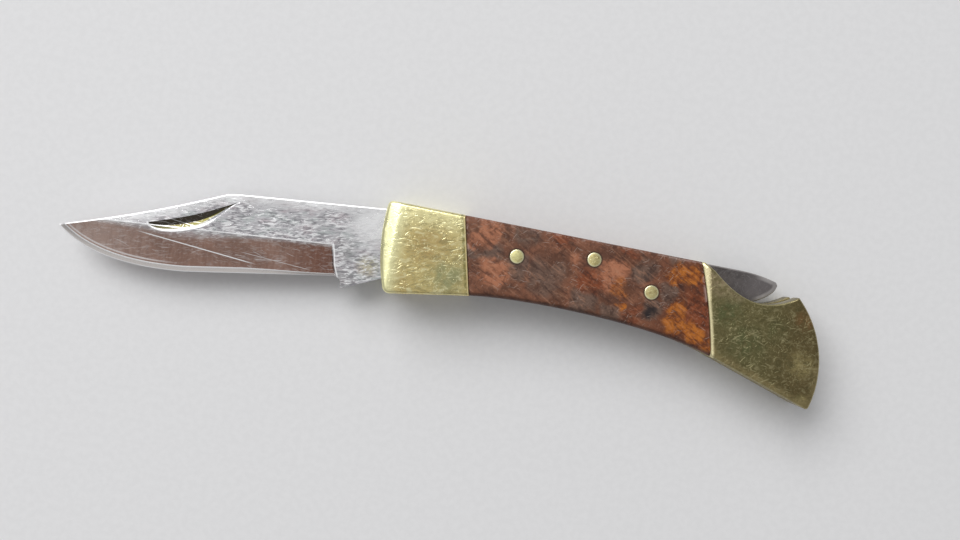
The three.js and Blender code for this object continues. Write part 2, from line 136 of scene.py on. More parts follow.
def distance_to(points, line, closed=False):
    """Distance from each point to a line of points."""
    line = np.asarray(line)
    starts = line if closed else line[:-1]
    ends = np.roll(line, -1, axis=0) if closed else line[1:]
    run = ends - starts
    length = np.maximum((run**2).sum(1), 1e-18)
    best = np.full(len(points), FAR)
    for first in range(0, len(points), CHUNK):
        part = points[first : first + CHUNK, None, :] - starts[None]
        t = np.clip((part * run[None]).sum(2) / length, 0, 1)
        gap = part - t[..., None] * run[None]
        best[first : first + CHUNK] = np.sqrt((gap**2).sum(2).min(1))
    return best


def clipped(line, outline):
    """The part of a line that lies well inside an outline."""
    return line[inside(line, outline) & (distance_to(line, outline, closed=True) > CLIP_GAP)]


def inside(points, outline):
    """Whether each point lies inside a closed outline."""
    outline = np.asarray(outline)
    x, y = points[:, 0], points[:, 1]
    result = np.zeros(len(points), bool)
    for (x0, y0), (x1, y1) in zip(outline, np.roll(outline, -1, axis=0)):
        if y0 == y1:
            continue
        crossing = (y0 > y) != (y1 > y)
        result ^= crossing & (x < x0 + (y - y0) * (x1 - x0) / (y1 - y0))
    return result


def smoothstep(t):
    t = np.clip(t, 0, 1)
    return t * t * (3 - 2 * t)


# Meshes from outlines


def inner_rings(outline, depths, spacing):
    """Rows of points that follow an outline at given depths inside it, each straight in from its corner."""
    line = resampled(np.vstack([outline, outline[:1]]), spacing)
    run = np.diff(line, axis=0)
    run /= np.linalg.norm(run, axis=1)[:, None]
    normal = np.stack([-run[:, 1], run[:, 0]], 1)
    inwards = normal + np.roll(normal, 1, axis=0)
    inwards *= 2 / np.maximum((inwards**2).sum(1), 0.5)[:, None]
    rows = [line[:-1] + inwards * depth for depth in depths]
    points = np.concatenate(rows)
    wanted = np.repeat(depths, len(run))
    keep = distance_to(points, outline, closed=True) > wanted - 1e-3 * spacing
    return points[keep & inside(points, outline)]


def grid_points(outline, spacing, margin):
    """An even net of points inside an outline, farther than a margin from it."""
    low, high = outline.min(0), outline.max(0)
    rows = []
    for k, y in enumerate(np.arange(low[1], high[1], spacing * 0.87)):
        xs = np.arange(low[0] + (k % 2) * spacing / 2, high[0], spacing)
        rows.append(np.stack([xs, np.full(len(xs), y)], 1))
    points = np.concatenate(rows)
    points = points[inside(points, outline)]
    return points[distance_to(points, outline, closed=True) > margin]


def triangles_inside(outline, creases, points, holes=()):
    """Fills an outline with triangles that keep the outline, the creases and the holes as edges."""
    verts, edges, crease_edges = [], [], set()
    for loop in [outline, *holes]:
        first = len(verts)
        verts += list(loop)
        edges += [(first + i, first + (i + 1) % len(loop)) for i in range(len(loop))]
    for line in creases:
        first = len(verts)
        verts += list(line)
        for i in range(len(line) - 1):
            crease_edges.add(len(edges))
            edges.append((first + i, first + i + 1))
    verts += list(points)
    scaled = [Vector((v[0] / MM, v[1] / MM)) for v in verts]
    faces = [list(range(len(outline)))]
    made = delaunay_2d_cdt(scaled, edges, faces, 1, NET_TOLERANCE)
    flat = np.array([(v.x, v.y) for v in made[0]]) * MM
    tris = np.array([tuple(f) for f in made[2]])
    area = np.cross(flat[tris[:, 1]] - flat[tris[:, 0]], flat[tris[:, 2]] - flat[tris[:, 0]])
    tris[area < 0] = tris[area < 0][:, ::-1]
    middle = flat[tris].mean(1)
    for hole in holes:
        tris = tris[~inside(middle, hole)]
        middle = flat[tris].mean(1)
    sharp = {
        tuple(sorted(edge))
        for edge, origins in zip(made[1], made[4])
        if crease_edges.intersection(origins)
    }
    return flat, tris, sharp


def clear_of(points, lines, gap):
    """The points that lie farther than a gap from each line."""
    for line in lines:
        points = points[distance_to(points, line) > gap]
    return points


def boundary(tris):
    """The directed edges that only one triangle uses."""
    sides = np.concatenate([tris[:, [0, 1]], tris[:, [1, 2]], tris[:, [2, 0]]])
    seen = {tuple(side) for side in sides}
    return [side for side in seen if (side[1], side[0]) not in seen]


def smooth_mesh(name, verts, faces):
    """A smooth mesh with sharp edges where its faces turn far."""
    mesh = bpy.data.meshes.new(name)
    mesh.from_pydata(verts, [], faces)
    mesh.polygons.foreach_set("use_smooth", [True] * len(mesh.polygons))
    mesh.set_sharp_from_angle(angle=math.radians(SHARP_ANGLE))
    return mesh


def add_mark(mesh, key, domain, values):
    attribute = mesh.attributes.new(key, "FLOAT", domain)
    attribute.data.foreach_set("value", np.asarray(values, np.float32))


def values_of(items, key, kind=np.float32, width=1):
    values = np.zeros(len(items) * width, kind)
    items.foreach_get(key, values)
    return values.reshape(-1, width) if width > 1 else values


def coordinates(mesh):
    return values_of(mesh.vertices, "co", width=3)


def plate_mesh(name, net, top, bottom, marks):
    """A closed mesh between a top and a bottom surface over the same net of triangles. marks holds
    functions of the flat places and of whether they are on the upper side."""
    flat, tris, sharp = net
    used = np.unique(tris)
    index = np.full(len(flat), -1)
    index[used] = np.arange(len(used))
    flat, tris = flat[used], index[tris]
    sharp = {tuple(sorted((index[a], index[b]))) for a, b in sharp if index[a] >= 0 and index[b] >= 0}
    count = len(flat)
    high, low = top(flat), bottom(flat)
    verts = np.concatenate([np.column_stack([flat, high]), np.column_stack([flat, low])])
    faces = [tuple(t) for t in tris]
    faces += [(c + count, b + count, a + count) for a, b, c in tris]
    faces += [(a + count, b + count, b, a) for a, b in boundary(tris)]
    mesh = smooth_mesh(name, [tuple(v) for v in verts], [tuple(int(i) for i in f) for f in faces])
    creased = sharp | {(a + count, b + count) for a, b in sharp}
    for edge in mesh.edges:
        if tuple(sorted(edge.vertices)) in creased:
            edge.use_edge_sharp = True
    for key, values in marks.items():
        add_mark(mesh, key, "POINT", np.concatenate([values(flat, True), values(flat, False)]))
    return mesh


def mark_faces(mesh, key, chosen, value):
    """A mark that stops short at the border of the chosen faces."""
    corners = values_of(mesh.loops, "vertex_index", np.int32)
    sides = values_of(mesh.polygons, "loop_total", np.int32)
    picked = np.repeat(chosen(values_of(mesh.polygons, "center", width=3)), sides)
    add_mark(mesh, key, "CORNER", np.where(picked, value(coordinates(mesh)[corners]), 0))


def rounded(depth, radius):
    """How far a rounded edge has dropped at a distance in from it."""
    inwards = np.clip(depth, 0, radius)
    return radius - np.sqrt(np.maximum(radius**2 - (radius - inwards) ** 2, 0))


def ring_depths(radius, steps=6):
    """How far in from its edge the rows of points of a rounded edge lie."""
    angle = np.linspace(0, math.pi / 2, steps + 1)[1:]
    return radius * (1 - np.cos(angle))


def soft_plate(name, outline, low, high, edge, spacing, holes=()):
    """A flat plate with all its edges a little rounded."""
    outline = resampled(np.vstack([outline, outline[:1]]), spacing)[:-1]
    rings = inner_rings(outline, ring_depths(edge, 5), spacing)
    points = np.vstack([rings, grid_points(outline, spacing * 2.5, edge + spacing)])
    for hole in holes:
        points = points[~inside(points, hole) & (distance_to(points, hole, closed=True) > spacing * 0.3)]
    net = triangles_inside(outline, [], points, holes)

    def drop(flat):
        return rounded(distance_to(flat, outline, closed=True), edge)

    marks = {"edge": lambda flat, upper: distance_to(flat, outline, closed=True) / MM}
    return plate_mesh(name, net, lambda p: high - drop(p), lambda p: low + drop(p), marks)


def mirrored(mesh, name, thickness):
    """The same mesh on the lower side of the handle."""
    other = mesh.copy()
    other.name = name
    co = coordinates(other)
    co[:, 2] = thickness - co[:, 2]
    other.vertices.foreach_set("co", co.ravel())
    other.flip_normals()
    return other


# Sizes and colours that a user would change


def number(name, description, value, **settings):
    return bpy.props.FloatProperty(name=name, description=description, default=value, **settings)


def length(name, description, millimetres):
    return number(name, description, millimetres * MM, unit="LENGTH", precision=5)


def angle(name, description, degrees):
    return number(name, description, math.radians(degrees), subtype="ANGLE")


def colour(name, description, rgb):
    return bpy.props.FloatVectorProperty(
        name=name, description=description, default=rgb, size=3, min=0, max=1, subtype="COLOR"
    )


class KnifeHandle(bpy.types.PropertyGroup):
    """Outline of the handle, its seams and its soft edges."""

    spine_height: length("Spine height", "From the blade pivot up to the spine", 9.35)
    nose_reach: length("Nose reach", "From the blade pivot to the front of the handle", 7.77)
    nose_radius: length("Nose radius", "Radius of the curved front of the handle", 32)
    nose_crown: length("Nose crown", "Height of the foremost point of the nose", 5.6)
    nose_corner: length("Nose corner", "Size of the soft corners of the nose", 0.9)
    belly_depth: length("Belly depth", "From the blade pivot down to the belly", 5.22)
    belly_slope: number("Belly slope", "Rise of the front belly along the handle", 0.165)
    front_pull: length("Front arch", "How long the arch keeps the slope of the front belly", 9)
    rear_pull: length("Rear arch", "How long the arch keeps the slope of the butt", 10.65)
    rear_belly: length("Rear belly depth", "Depth of the belly at the rear seam", 5.9)
    butt_reach: length("Butt reach", "From the blade pivot to the end of the butt", 68.45)
    butt_depth: length("Butt depth", "Depth of the lowest corner of the butt", 11.6)
    butt_radius: length("Butt radius", "Radius of the curved end of the butt", 18)
    butt_crown: length("Butt crown", "Depth of the rearmost point of the butt", 6.5)
    butt_corner: length("Butt corner", "Size of the soft corner of the butt", 0.6)
    horn_depth: length("Horn depth", "From the spine down to the horn behind the thumb notch", 2.78)
    notch_length: length("Notch length", "Length of the thumb notch", 14.9)
    notch_drop: length("Notch drop", "Drop of the notch where its shoulder ends", 0.9)
    notch_shoulder: length("Notch shoulder", "Length of the shoulder at the start of the notch", 1.6)
    notch_fall: angle("Notch fall", "Slope of the notch at its start", 40)
    notch_climb: angle("Notch climb", "Slope of the notch at the horn", 34)
    notch_fall_reach: length("Notch fall reach", "How long the notch keeps its falling slope", 7)
    notch_climb_reach: length("Notch climb reach", "How long the notch keeps its climbing slope", 6.5)
    front_seam_spine: length("Front seam at the spine", "From the pivot to the front seam", 5.4)
    front_seam_belly: length("Front seam at the belly", "From the pivot to the front seam", 8.6)
    rear_seam_spine: length("Rear seam at the spine", "From the butt to the rear seam", 22.7)
    rear_seam_belly: length("Rear seam at the belly", "From the butt to the rear seam", 18.3)
    rear_seam_bulge: length("Rear seam bulge", "How far the rear seam bows to the butt", 0.7)
    seam_gap: length("Seam gap", "Gap between the wood and each bolster", 0.06)
    bolster_edge: length("Bolster edge", "Radius of the bolsters' outer edges", 0.55)
    seam_edge: length("Seam edge", "Radius of the bolsters' edges along the wood", 0.3)
    wood_edge: length("Wood edge", "Radius of the wood's outer edges", 0.9)
    wood_recess: length("Wood recess", "Depth of the wood below the bolsters", 0.3)
    slope_length: length("Nose slope length", "Length of the slope at the front of the bolster", 2.4)
    crown: length("Crown", "Fall of the bolsters towards their long edges", 0.16)
    chamfer_spine: length("Chamfer at the spine", "Width of the rear seam's chamfer at the spine", 1.35)
    chamfer_belly: length("Chamfer at the belly", "Width of the rear seam's chamfer at the belly", 0.6)
    slope_drop: length("Nose slope drop", "Fall of the slope at the front of the bolster", 0.8)


class KnifeBlade(bpy.types.PropertyGroup):
    """Outline and grinds of the blade, from the pivot with the tip straight ahead."""

    tip_reach: length("Tip reach", "From the pivot to the tip", 62.94)
    lean: angle("Lean", "How far the tip hangs below the line of the spine", 4.97)
    back_height: length("Back height", "From the pivot to the back of the blade", 8.66)
    back_taper: number("Back taper", "Fall of the back towards the tip", 0.011)
    clip_length: length("Clip length", "Length of the clip", 27.75)
    clip_drop: length("Clip drop", "Drop of the back at the start of the clip", 0.4)
    clip_shoulder: length("Clip shoulder", "Length of the soft bend before the clip", 3)
    clip_fall: angle("Clip fall", "Slope at the start of the clip", 20)
    clip_start_pull: length("Clip start reach", "How long the clip keeps its first slope", 9.8)
    clip_tip_rise: angle("Clip rise", "Slope of the clip at the tip", 11.6)
    clip_tip_pull: length("Clip tip reach", "How long the clip keeps its slope at the tip", 8.65)
    belly_length: length("Belly length", "From the tip to the straight edge", 22.4)
    tip_rise: angle("Tip rise", "Slope of the belly at the tip", 44)
    tip_pull: length("Tip reach of the belly", "How long the belly keeps its slope at the tip", 5)
    belly_pull: length("Belly reach", "How long the belly keeps the line of the edge", 12)
    heel_reach: length("Heel reach", "From the pivot to the end of the edge", 15.2)
    heel_depth: length("Heel depth", "Depth of the edge at the heel", 3.72)
    edge_slope: number("Edge slope", "Fall of the edge towards the tip", 0.081)
    choil_radius: length("Choil radius", "Radius of the notch behind the edge", 1.35)
    kick_depth: length("Kick depth", "Depth of the kick", 5.66)
    tang_slope: number("Tang slope", "Rise of the tang's underside", 0.36)
    tang_end: length("Tang end", "From the pivot to the end of the tang's sloping underside", 6.6)
    cam_radius: length("Cam radius", "Radius of the tang about the pivot", 5)
    notch_depth: length("Lock notch depth", "Depth of the lock notch in the cam", 0.85)
    hook_front: length("Notch front", "From the pivot to the front wall of the lock notch", 3)
    hook_back: length("Notch back", "From the pivot to the back wall of the lock notch", 1.1)
    grind_start: length("Grind line height", "Height of the grind line above the pivot", 1.6)
    grind_hollow: length("Grind hollow", "Depth of the hollow of the grind", 0.12)
    edge_width: length("Edge stock", "Thickness left at the end of the grind", 0.3)
    bevel_width: length("Bevel width", "Width of the sharpened bevel", 0.85)
    edge_break: length("Back edge", "Size of the worn edges along the back", 0.16)
    nick_depth: length("Nail nick depth", "Deepest part of the nail nick", 0.42)
    closing: angle("Closing angle", "How far the blade turns to close", 171)


class KnifeFinish(bpy.types.PropertyGroup):
    """Colours of the materials."""

    steel: colour("Blade steel", "Polished blade steel", (0.65, 0.64, 0.665))
    # The brown of the hollow is a painted reflection
    hollow: colour("Hollow steel", "Steel in the hollow grind", (0.385, 0.235, 0.185))
    lock: colour("Lock steel", "Dull steel of the lock bar", (0.185, 0.165, 0.158))
    brass: colour("Yellow brass", "Polished brass of the front bolsters", (0.76, 0.62, 0.27))
    aged: colour("Aged brass", "Tarnished brass of the rear bolsters", (0.25, 0.215, 0.098))
    pin: colour("Pin brass", "Pale brass of the pins", (0.92, 0.80, 0.38))
    wood_red: colour("Red wood", "Red-brown ground of the burl", (0.175, 0.070, 0.038))
    wood_grey: colour("Grey wood", "Purple-grey clouds of the burl", (0.150, 0.092, 0.068))


class KnifeStudio(bpy.types.PropertyGroup):
    """Floor, lamps and camera."""

    floor: colour("Floor", "Colour of the floor", (0.80, 0.80, 0.81))
    key_power: number("Key lamp", "Power of the large soft lamp", 20, min=0, unit="POWER")
    box_power: number("Soft box", "Power of the soft box overhead", 0.95, min=0, unit="POWER")
    world_level: number("World level", "Brightness of the room", 0.33, min=0, subtype="FACTOR")
    camera_height: length("Camera height", "Height of the camera above the floor", 181.4)
    camera_turn: angle("Camera turn", "How far the camera is turned about the upright", 11.2)


# Outlines of the handle


class EndArc:
    """The upright arc that closes an end of the handle. way is -1 at the nose and 1 at the butt."""

    def __init__(self, way, reach, radius, crown):
        self.way, self.radius = way, radius
        self.centre = point(way * (reach - radius), crown)

    def x(self, y):
        return self.centre[0] + self.way * math.sqrt(self.radius**2 - (y - self.centre[1]) ** 2)

    def between(self, *heights):
        angles = [math.asin((y - self.centre[1]) / self.radius) for y in heights]
        if self.way < 0:
            angles = [math.pi - angle for angle in angles]
        return arc(self.centre, self.radius, *angles, CURVE_STEPS)


class HandleLines:
    """The curves of the handle, in the order in which its outline runs."""

    def __init__(self):
        self.sizes = bpy.context.scene.knife_handle
        h = self.sizes
        self.spine = h.spine_height
        self.front_end = EndArc(-1, h.nose_reach, h.nose_radius, h.nose_crown)
        self.rear_end = EndArc(1, h.butt_reach, h.butt_radius, -h.butt_crown)
        self.belly_start = self.front_belly(h.front_seam_belly)
        self.rear_seam_foot = point(h.butt_reach - h.rear_seam_belly, -h.rear_belly)
        self.butt_foot = point(self.rear_end.x(-h.butt_depth), -h.butt_depth)
        run = self.butt_foot - self.rear_seam_foot
        self.butt_run = run / np.linalg.norm(run)
        horn_y = self.spine - h.horn_depth
        self.horn = point(self.rear_end.x(horn_y), horn_y)
        self.notch_start = point(self.horn[0] - h.notch_length, self.spine - h.notch_drop)
        self.shoulder = point(self.notch_start[0] - h.notch_shoulder, self.spine)

    def front_belly(self, x):
        """The point of the straight front belly at a place along the handle."""
        return point(x, self.sizes.belly_slope * x - self.sizes.belly_depth)

    def belly(self):
        pull_start = self.front_belly(self.belly_start[0] + self.sizes.front_pull)
        pull_end = self.rear_seam_foot - self.butt_run * self.sizes.rear_pull
        return bend(self.belly_start, pull_start, pull_end, self.rear_seam_foot)

    def butt(self):
        h = self.sizes
        before = self.butt_foot - self.butt_run * h.butt_corner
        back = self.rear_end.between(h.butt_corner - h.butt_depth, self.horn[1])
        return np.concatenate([corner(before, self.butt_foot, back[0]), back[1:]])

    def notch(self):
        h = self.sizes
        pull_horn = towards(self.horn, h.notch_climb_reach, math.pi + h.notch_climb)
        pull_start = towards(self.notch_start, h.notch_fall_reach, -h.notch_fall)
        return bend(self.horn, pull_horn, pull_start, self.notch_start)

    def nose(self):
        size = self.sizes.nose_corner
        high = point(self.front_end.x(self.spine), self.spine)
        low = self.front_belly(self.front_end.x(self.front_belly(-self.sizes.nose_reach)[1]))
        front = self.front_end.between(high[1] - size, low[1] + size)
        head = corner(high + point(size, 0), high, front[0])
        foot = corner(front[-1], low, self.front_belly(low[0] + size))
        return np.concatenate([head, front[1:], foot[1:]])

    def front_seam(self, shift=0.0):
        """From the belly up to the spine."""
        top = point(self.sizes.front_seam_spine + shift, self.spine)
        return np.array([self.belly_start + point(shift, 0), top])

    def rear_seam(self, shift=0.0):
        """From the belly up to the spine, with a slight bow."""
        top = point(self.sizes.butt_reach - self.sizes.rear_seam_spine, self.spine)
        middle = (top + self.rear_seam_foot) / 2 + point(self.sizes.rear_seam_bulge, 0)
        return corner(self.rear_seam_foot, middle, top, 20) + point(shift, 0)

    def whole(self):
        nose, butt = self.nose(), self.butt()
        bottom = np.array([self.rear_seam_foot, butt[0]])
        top = np.array([self.notch_start, self.shoulder, nose[0]])
        front = np.array([nose[-1], self.belly_start])
        return joined([self.belly(), bottom, butt, self.notch(), top, nose, front])


def layers():
    """Heights of the layers of the handle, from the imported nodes."""
    heights = {"top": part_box("rear_bolster_upper")[1].z}
    for layer, node in (("liner", "liner_upper"), ("blade", "lock_bar"), ("channel", "butt_spacer")):
        heights[layer + "_low"], heights[layer + "_high"] = (place.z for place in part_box(node))
    return heights


def centre_of(node):
    low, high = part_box(node)
    return point((low.x + high.x) / 2, (low.y + high.y) / 2)


def edged_plate(name, edges, low, surface, spacing, creases=(), seam=None):
    """A thick piece with a flat back, whose front falls off at each edge by that edge's own radius.
    edges holds pairs of a chain of points and a radius, and surface gives the height of the front
    inside them. seam gives the mark that tells how far a place is from the seam."""
    chains = [resampled(chain, spacing) for chain, radius in edges]
    outline = joined(chains)
    radii = sorted({radius for chain, radius in edges})
    rings = [inner_rings(outline, ring_depths(radius), spacing) for radius in radii]
    points = np.concatenate([*rings, grid_points(outline, spacing * 1.6, radii[-1] + spacing * 0.6)])
    creases = [clipped(resampled(line, spacing), outline) for line in creases]
    net = triangles_inside(outline, creases, clear_of(points, creases, spacing * 0.4))

    def top(flat):
        drops = [rounded(distance_to(flat, chain), radius) for chain, (_, radius) in zip(chains, edges)]
        return surface(flat) - np.max(drops, axis=0)

    marks = {"edge": lambda flat, upper: distance_to(flat, outline, closed=True) / MM}
    if seam:
        marks["seam"] = lambda flat, upper: seam(flat)
    return plate_mesh(name, net, top, lambda flat: np.full(len(flat), low), marks)


# Shader building


class Shading:
    """Adds nodes to a material or a node group, and links them."""

    def __init__(self, tree):
        self.tree = tree

    def put(self, made, inputs):
        for key, value in inputs.items():
            if isinstance(value, bpy.types.NodeSocket):
                self.tree.links.new(value, made.inputs[key])
            else:
                made.inputs[key].default_value = value

    def node(self, kind, inputs=None, **settings):
        made = self.tree.nodes.new("ShaderNode" + kind)
        for key, value in settings.items():
            setattr(made, key, value)
        self.put(made, inputs or {})
        return made

    def math(self, operation, a, b=0.0, clamp=False):
        return self.node("Math", {0: a, 1: b}, operation=operation, use_clamp=clamp).outputs[0]

    def plus(self, a, b, clamp=False):
        return self.math("ADD", a, b, clamp)

    def minus(self, a, b):
        return self.math("SUBTRACT", a, b)

    def rest(self, share):
        """What a share leaves of one."""
        return self.minus(1.0, share)

    def size(self, value):
        return self.math("ABSOLUTE", value)

    def times(self, product, *factors):
        for factor in factors:
            product = self.math("MULTIPLY", product, factor)
        return product

    def most(self, greatest, *values):
        for value in values:
            greatest = self.math("MAXIMUM", greatest, value)
        return greatest

    def vector(self, operation, a, b):
        return self.node("VectorMath", {0: a, 1: b}, operation=operation).outputs[0]

    def scaled(self, vector, factor):
        return self.node("VectorMath", {0: vector, "Scale": factor}, operation="SCALE").outputs[0]

    def distance(self, place, x, y):
        return self.node("VectorMath", {0: place, 1: (x, y, 0.0)}, operation="DISTANCE").outputs["Value"]

    def turned(self, vector, turn):
        inputs = {"Vector": vector, "Angle": turn}
        return self.node("VectorRotate", inputs, rotation_type="Z_AXIS").outputs[0]

    def noise(self, vector, scale, detail=3.0, roughness=0.5, distortion=0.0, output="Fac"):
        inputs = {"Vector": vector, "Scale": scale, "Detail": detail}
        inputs |= {"Roughness": roughness, "Distortion": distortion}
        return self.node("TexNoise", inputs).outputs[output]

    def remap(self, value, low, high, to_low=0.0, to_high=1.0):
        inputs = {"Value": value, "From Min": low, "From Max": high, "To Min": to_low, "To Max": to_high}
        return self.node("MapRange", inputs, interpolation_type="SMOOTHSTEP").outputs[0]

    def near(self, value, low, high, strength=1.0):
        """The strength up to low, and nothing from high on."""
        return self.remap(value, low, high, strength, 0.0)

    def mix(self, factor, a, b):
        colours = [c if isinstance(c, bpy.types.NodeSocket) else (*c, 1.0) for c in (a, b)]
        return self.node("Mix", {0: factor, 6: colours[0], 7: colours[1]}, data_type="RGBA").outputs[2]

    def tints(self, base, *rows):
        """Lays tones over the base. A row holds a value, what it is where the tone starts and where
        the tone is at its strength, that strength, and the tone."""
        for value, low, high, strength, tone in rows:
            base = self.mix(self.remap(value, low, high, 0.0, strength), base, tone)
        return base

    def mark(self, name):
        return self.node("Attribute", attribute_name=name).outputs["Fac"]

    def place(self):
        return self.node("TexCoord").outputs["Object"]

    def flat(self, place):
        return self.vector("MULTIPLY", place, (1.0, 1.0, 0.0))

    def parts(self, vector):
        return self.node("SeparateXYZ", {0: vector}).outputs

    def facing(self):
        return self.parts(self.node("TexCoord").outputs["Normal"])

    def level(self):
        """1 where the surface looks up or down, and 0 on the walls."""
        return self.math("GREATER_THAN", self.size(self.facing()[2]), 0.6)

    def skin(self, where):
        """The place seen from above, and on the walls the place along the wall and up."""
        x, y, z = self.parts(where)
        wall = self.node("CombineXYZ", {0: self.plus(x, y), 1: z}).outputs[0]
        return self.mix(self.level(), wall, where)

    def rim(self, name):
        """Millimetres from the nearest edge: the mark of that name, and on the walls the height
        over or under the nearest layer of the handle."""
        z = layers()
        middle = z["top"] / 2
        rise = self.size(self.minus(self.parts(self.place())[2], middle))
        nearest = FAR
        for layer in ("top", "liner_high", "liner_low", "blade_high"):
            nearest = self.math("MINIMUM", self.size(self.minus(rise, z[layer] - middle)), nearest)
        per_millimetre = self.minus(1.0 / MM, self.math("DIVIDE", self.level(), MM))
        return self.most(self.mark(name), self.times(nearest, per_millimetre))

    def spots(self, place, places):
        """A mask of soft round spots. places holds x, y, radius and strength, in millimetres."""
        masks = []
        for x, y, radius, strength in places:
            gap = self.distance(place, x * MM, y * MM)
            masks.append(self.near(gap, radius * MM * 0.25, radius * MM, strength))
        return self.most(*masks)

    def areas(self, base, place, share, *rows):
        """Lays tones over the base on soft round spots. share is how much of each comes through."""
        for tone, places in rows:
            base = self.mix(self.times(self.spots(place, places), share), base, tone)
        return base

    def streak(self, place, start, end, width):
        """A thin straight mark between two points of the object's plane, in millimetres."""
        start, end = point(*start) * MM, point(*end) * MM
        middle, run = (start + end) / 2, end - start
        local = self.vector("SUBTRACT", place, (*middle, 0.0))
        x, y, _ = self.parts(self.turned(local, -math.atan2(run[1], run[0])))
        half = float(np.linalg.norm(run)) / 2
        across = self.near(self.size(y), width * MM * 0.4, width * MM)
        return self.times(across, self.near(self.size(x), half * 0.7, half))

    def use(self, name, where, *values):
        """The outputs of a shared effect, with its numbers in the order that EFFECTS gives them."""
        numbers = EFFECTS[name][1]
        inputs = {"Vector": where, **dict(zip(numbers, values))}
        return self.node("Group", inputs, node_tree=effect_group(name)).outputs

    def finish(self, base, rough, height, depth, metallic=1.0):
        """The inputs of the shader, with relief as deep as depth."""
        relief = self.node("Bump", {"Height": height, "Distance": depth}).outputs[0]
        return {"Base Color": base, "Metallic": metallic, "Roughness": rough, "Normal": relief}


def shade(values, factor):
    return tuple(c * factor for c in values)


# Effects that several materials share


def scratches(s, source):
    """Separate, slightly bowed scratches in three layers, which Cluster gathers in patches."""
    marks = []
    for layer in range(3):
        moved = s.vector("ADD", source["Vector"], (0.0137 * layer, 0.0071 * layer, 0.0))
        scale = s.times(source["Scale"], 1.0 + 0.45 * layer)
        cell = s.node("TexVoronoi", {"Vector": moved, "Scale": scale}, voronoi_dimensions="2D").outputs
        chance = s.node("SeparateColor", {"Color": cell["Color"]}).outputs
        away = s.scaled(s.vector("SUBTRACT", moved, cell["Position"]), scale)
        swing = s.times(source["Spread"], -2.0, s.minus(chance[0], 0.5))
        x, y, _ = s.parts(s.turned(away, s.minus(swing, source["Angle"])))
        bow = s.times(x, x, s.minus(chance[2], 0.5))
        line = s.near(s.size(s.plus(y, bow)), 0.0, source["Width"])
        reach = s.plus(s.times(chance[2], 0.3), 0.15)
        ends = s.near(s.size(x), s.times(reach, 0.4), reach)
        marks.append(s.times(line, ends, s.math("LESS_THAN", chance[1], source["Amount"])))
    patches = s.noise(source["Vector"], s.times(source["Scale"], 0.55), 2.0)
    bare = s.times(s.remap(patches, 0.56, 0.44), source["Cluster"])
    return {"Lines": s.times(s.most(*marks), s.rest(bare))}


def ripples(s, source):
    """Short wavy marks along one direction, in patches."""
    local = s.turned(source["Vector"], s.times(source["Angle"], -1.0))
    waves = s.noise(s.vector("MULTIPLY", local, (0.24, 1.0, 1.0)), source["Scale"], 3.0, 0.55, 0.9)
    patches = s.noise(source["Vector"], s.times(source["Scale"], 0.12), 2.0)
    return {"Height": s.times(s.minus(waves, 0.5), s.remap(patches, 0.36, 0.6, 0.4, 1.0))}


def dents(s, source):
    """Shallow dents, and small pits that are dark too."""
    broad = s.noise(source["Vector"], s.times(source["Scale"], 0.3), 2.0, 0.5, 0.5)
    fine = s.noise(source["Vector"], source["Scale"], 3.0, 0.6, 0.8)
    grain = s.noise(source["Vector"], s.times(source["Scale"], 2.4), 2.0, 0.6)
    pits = s.remap(grain, 0.36, 0.26)
    height = s.minus(s.plus(broad, s.times(fine, 0.45)), s.times(pits, 0.12))
    return {"Height": height, "Pits": pits}


EFFECTS = {
    "scratches": (
        scratches,
        {"Angle": 0.0, "Spread": 0.4, "Scale": 400.0, "Width": 0.03, "Amount": 0.5, "Cluster": 0.0},
        ["Lines"],
    ),
    "ripples": (ripples, {"Angle": 0.0, "Scale": 3000.0}, ["Height"]),
    "dents": (dents, {"Scale": 1200.0}, ["Height", "Pits"]),
}


def effect_group(name):
    """The node group of an effect, made the first time that it is asked for."""
    if name in bpy.data.node_groups:
        return bpy.data.node_groups[name]
    draw, numbers, outputs = EFFECTS[name]
    tree = bpy.data.node_groups.new(name, "ShaderNodeTree")
    tree.interface.new_socket("Vector", in_out="INPUT", socket_type="NodeSocketVector")
    for socket, value in numbers.items():
        made = tree.interface.new_socket(socket, in_out="INPUT", socket_type="NodeSocketFloat")
        made.default_value = value
    for socket in outputs:
        tree.interface.new_socket(socket, in_out="OUTPUT", socket_type="NodeSocketFloat")
    s = Shading(tree)
    made = draw(s, tree.nodes.new("NodeGroupInput").outputs)
    s.put(tree.nodes.new("NodeGroupOutput"), made)
    return tree


# Materials


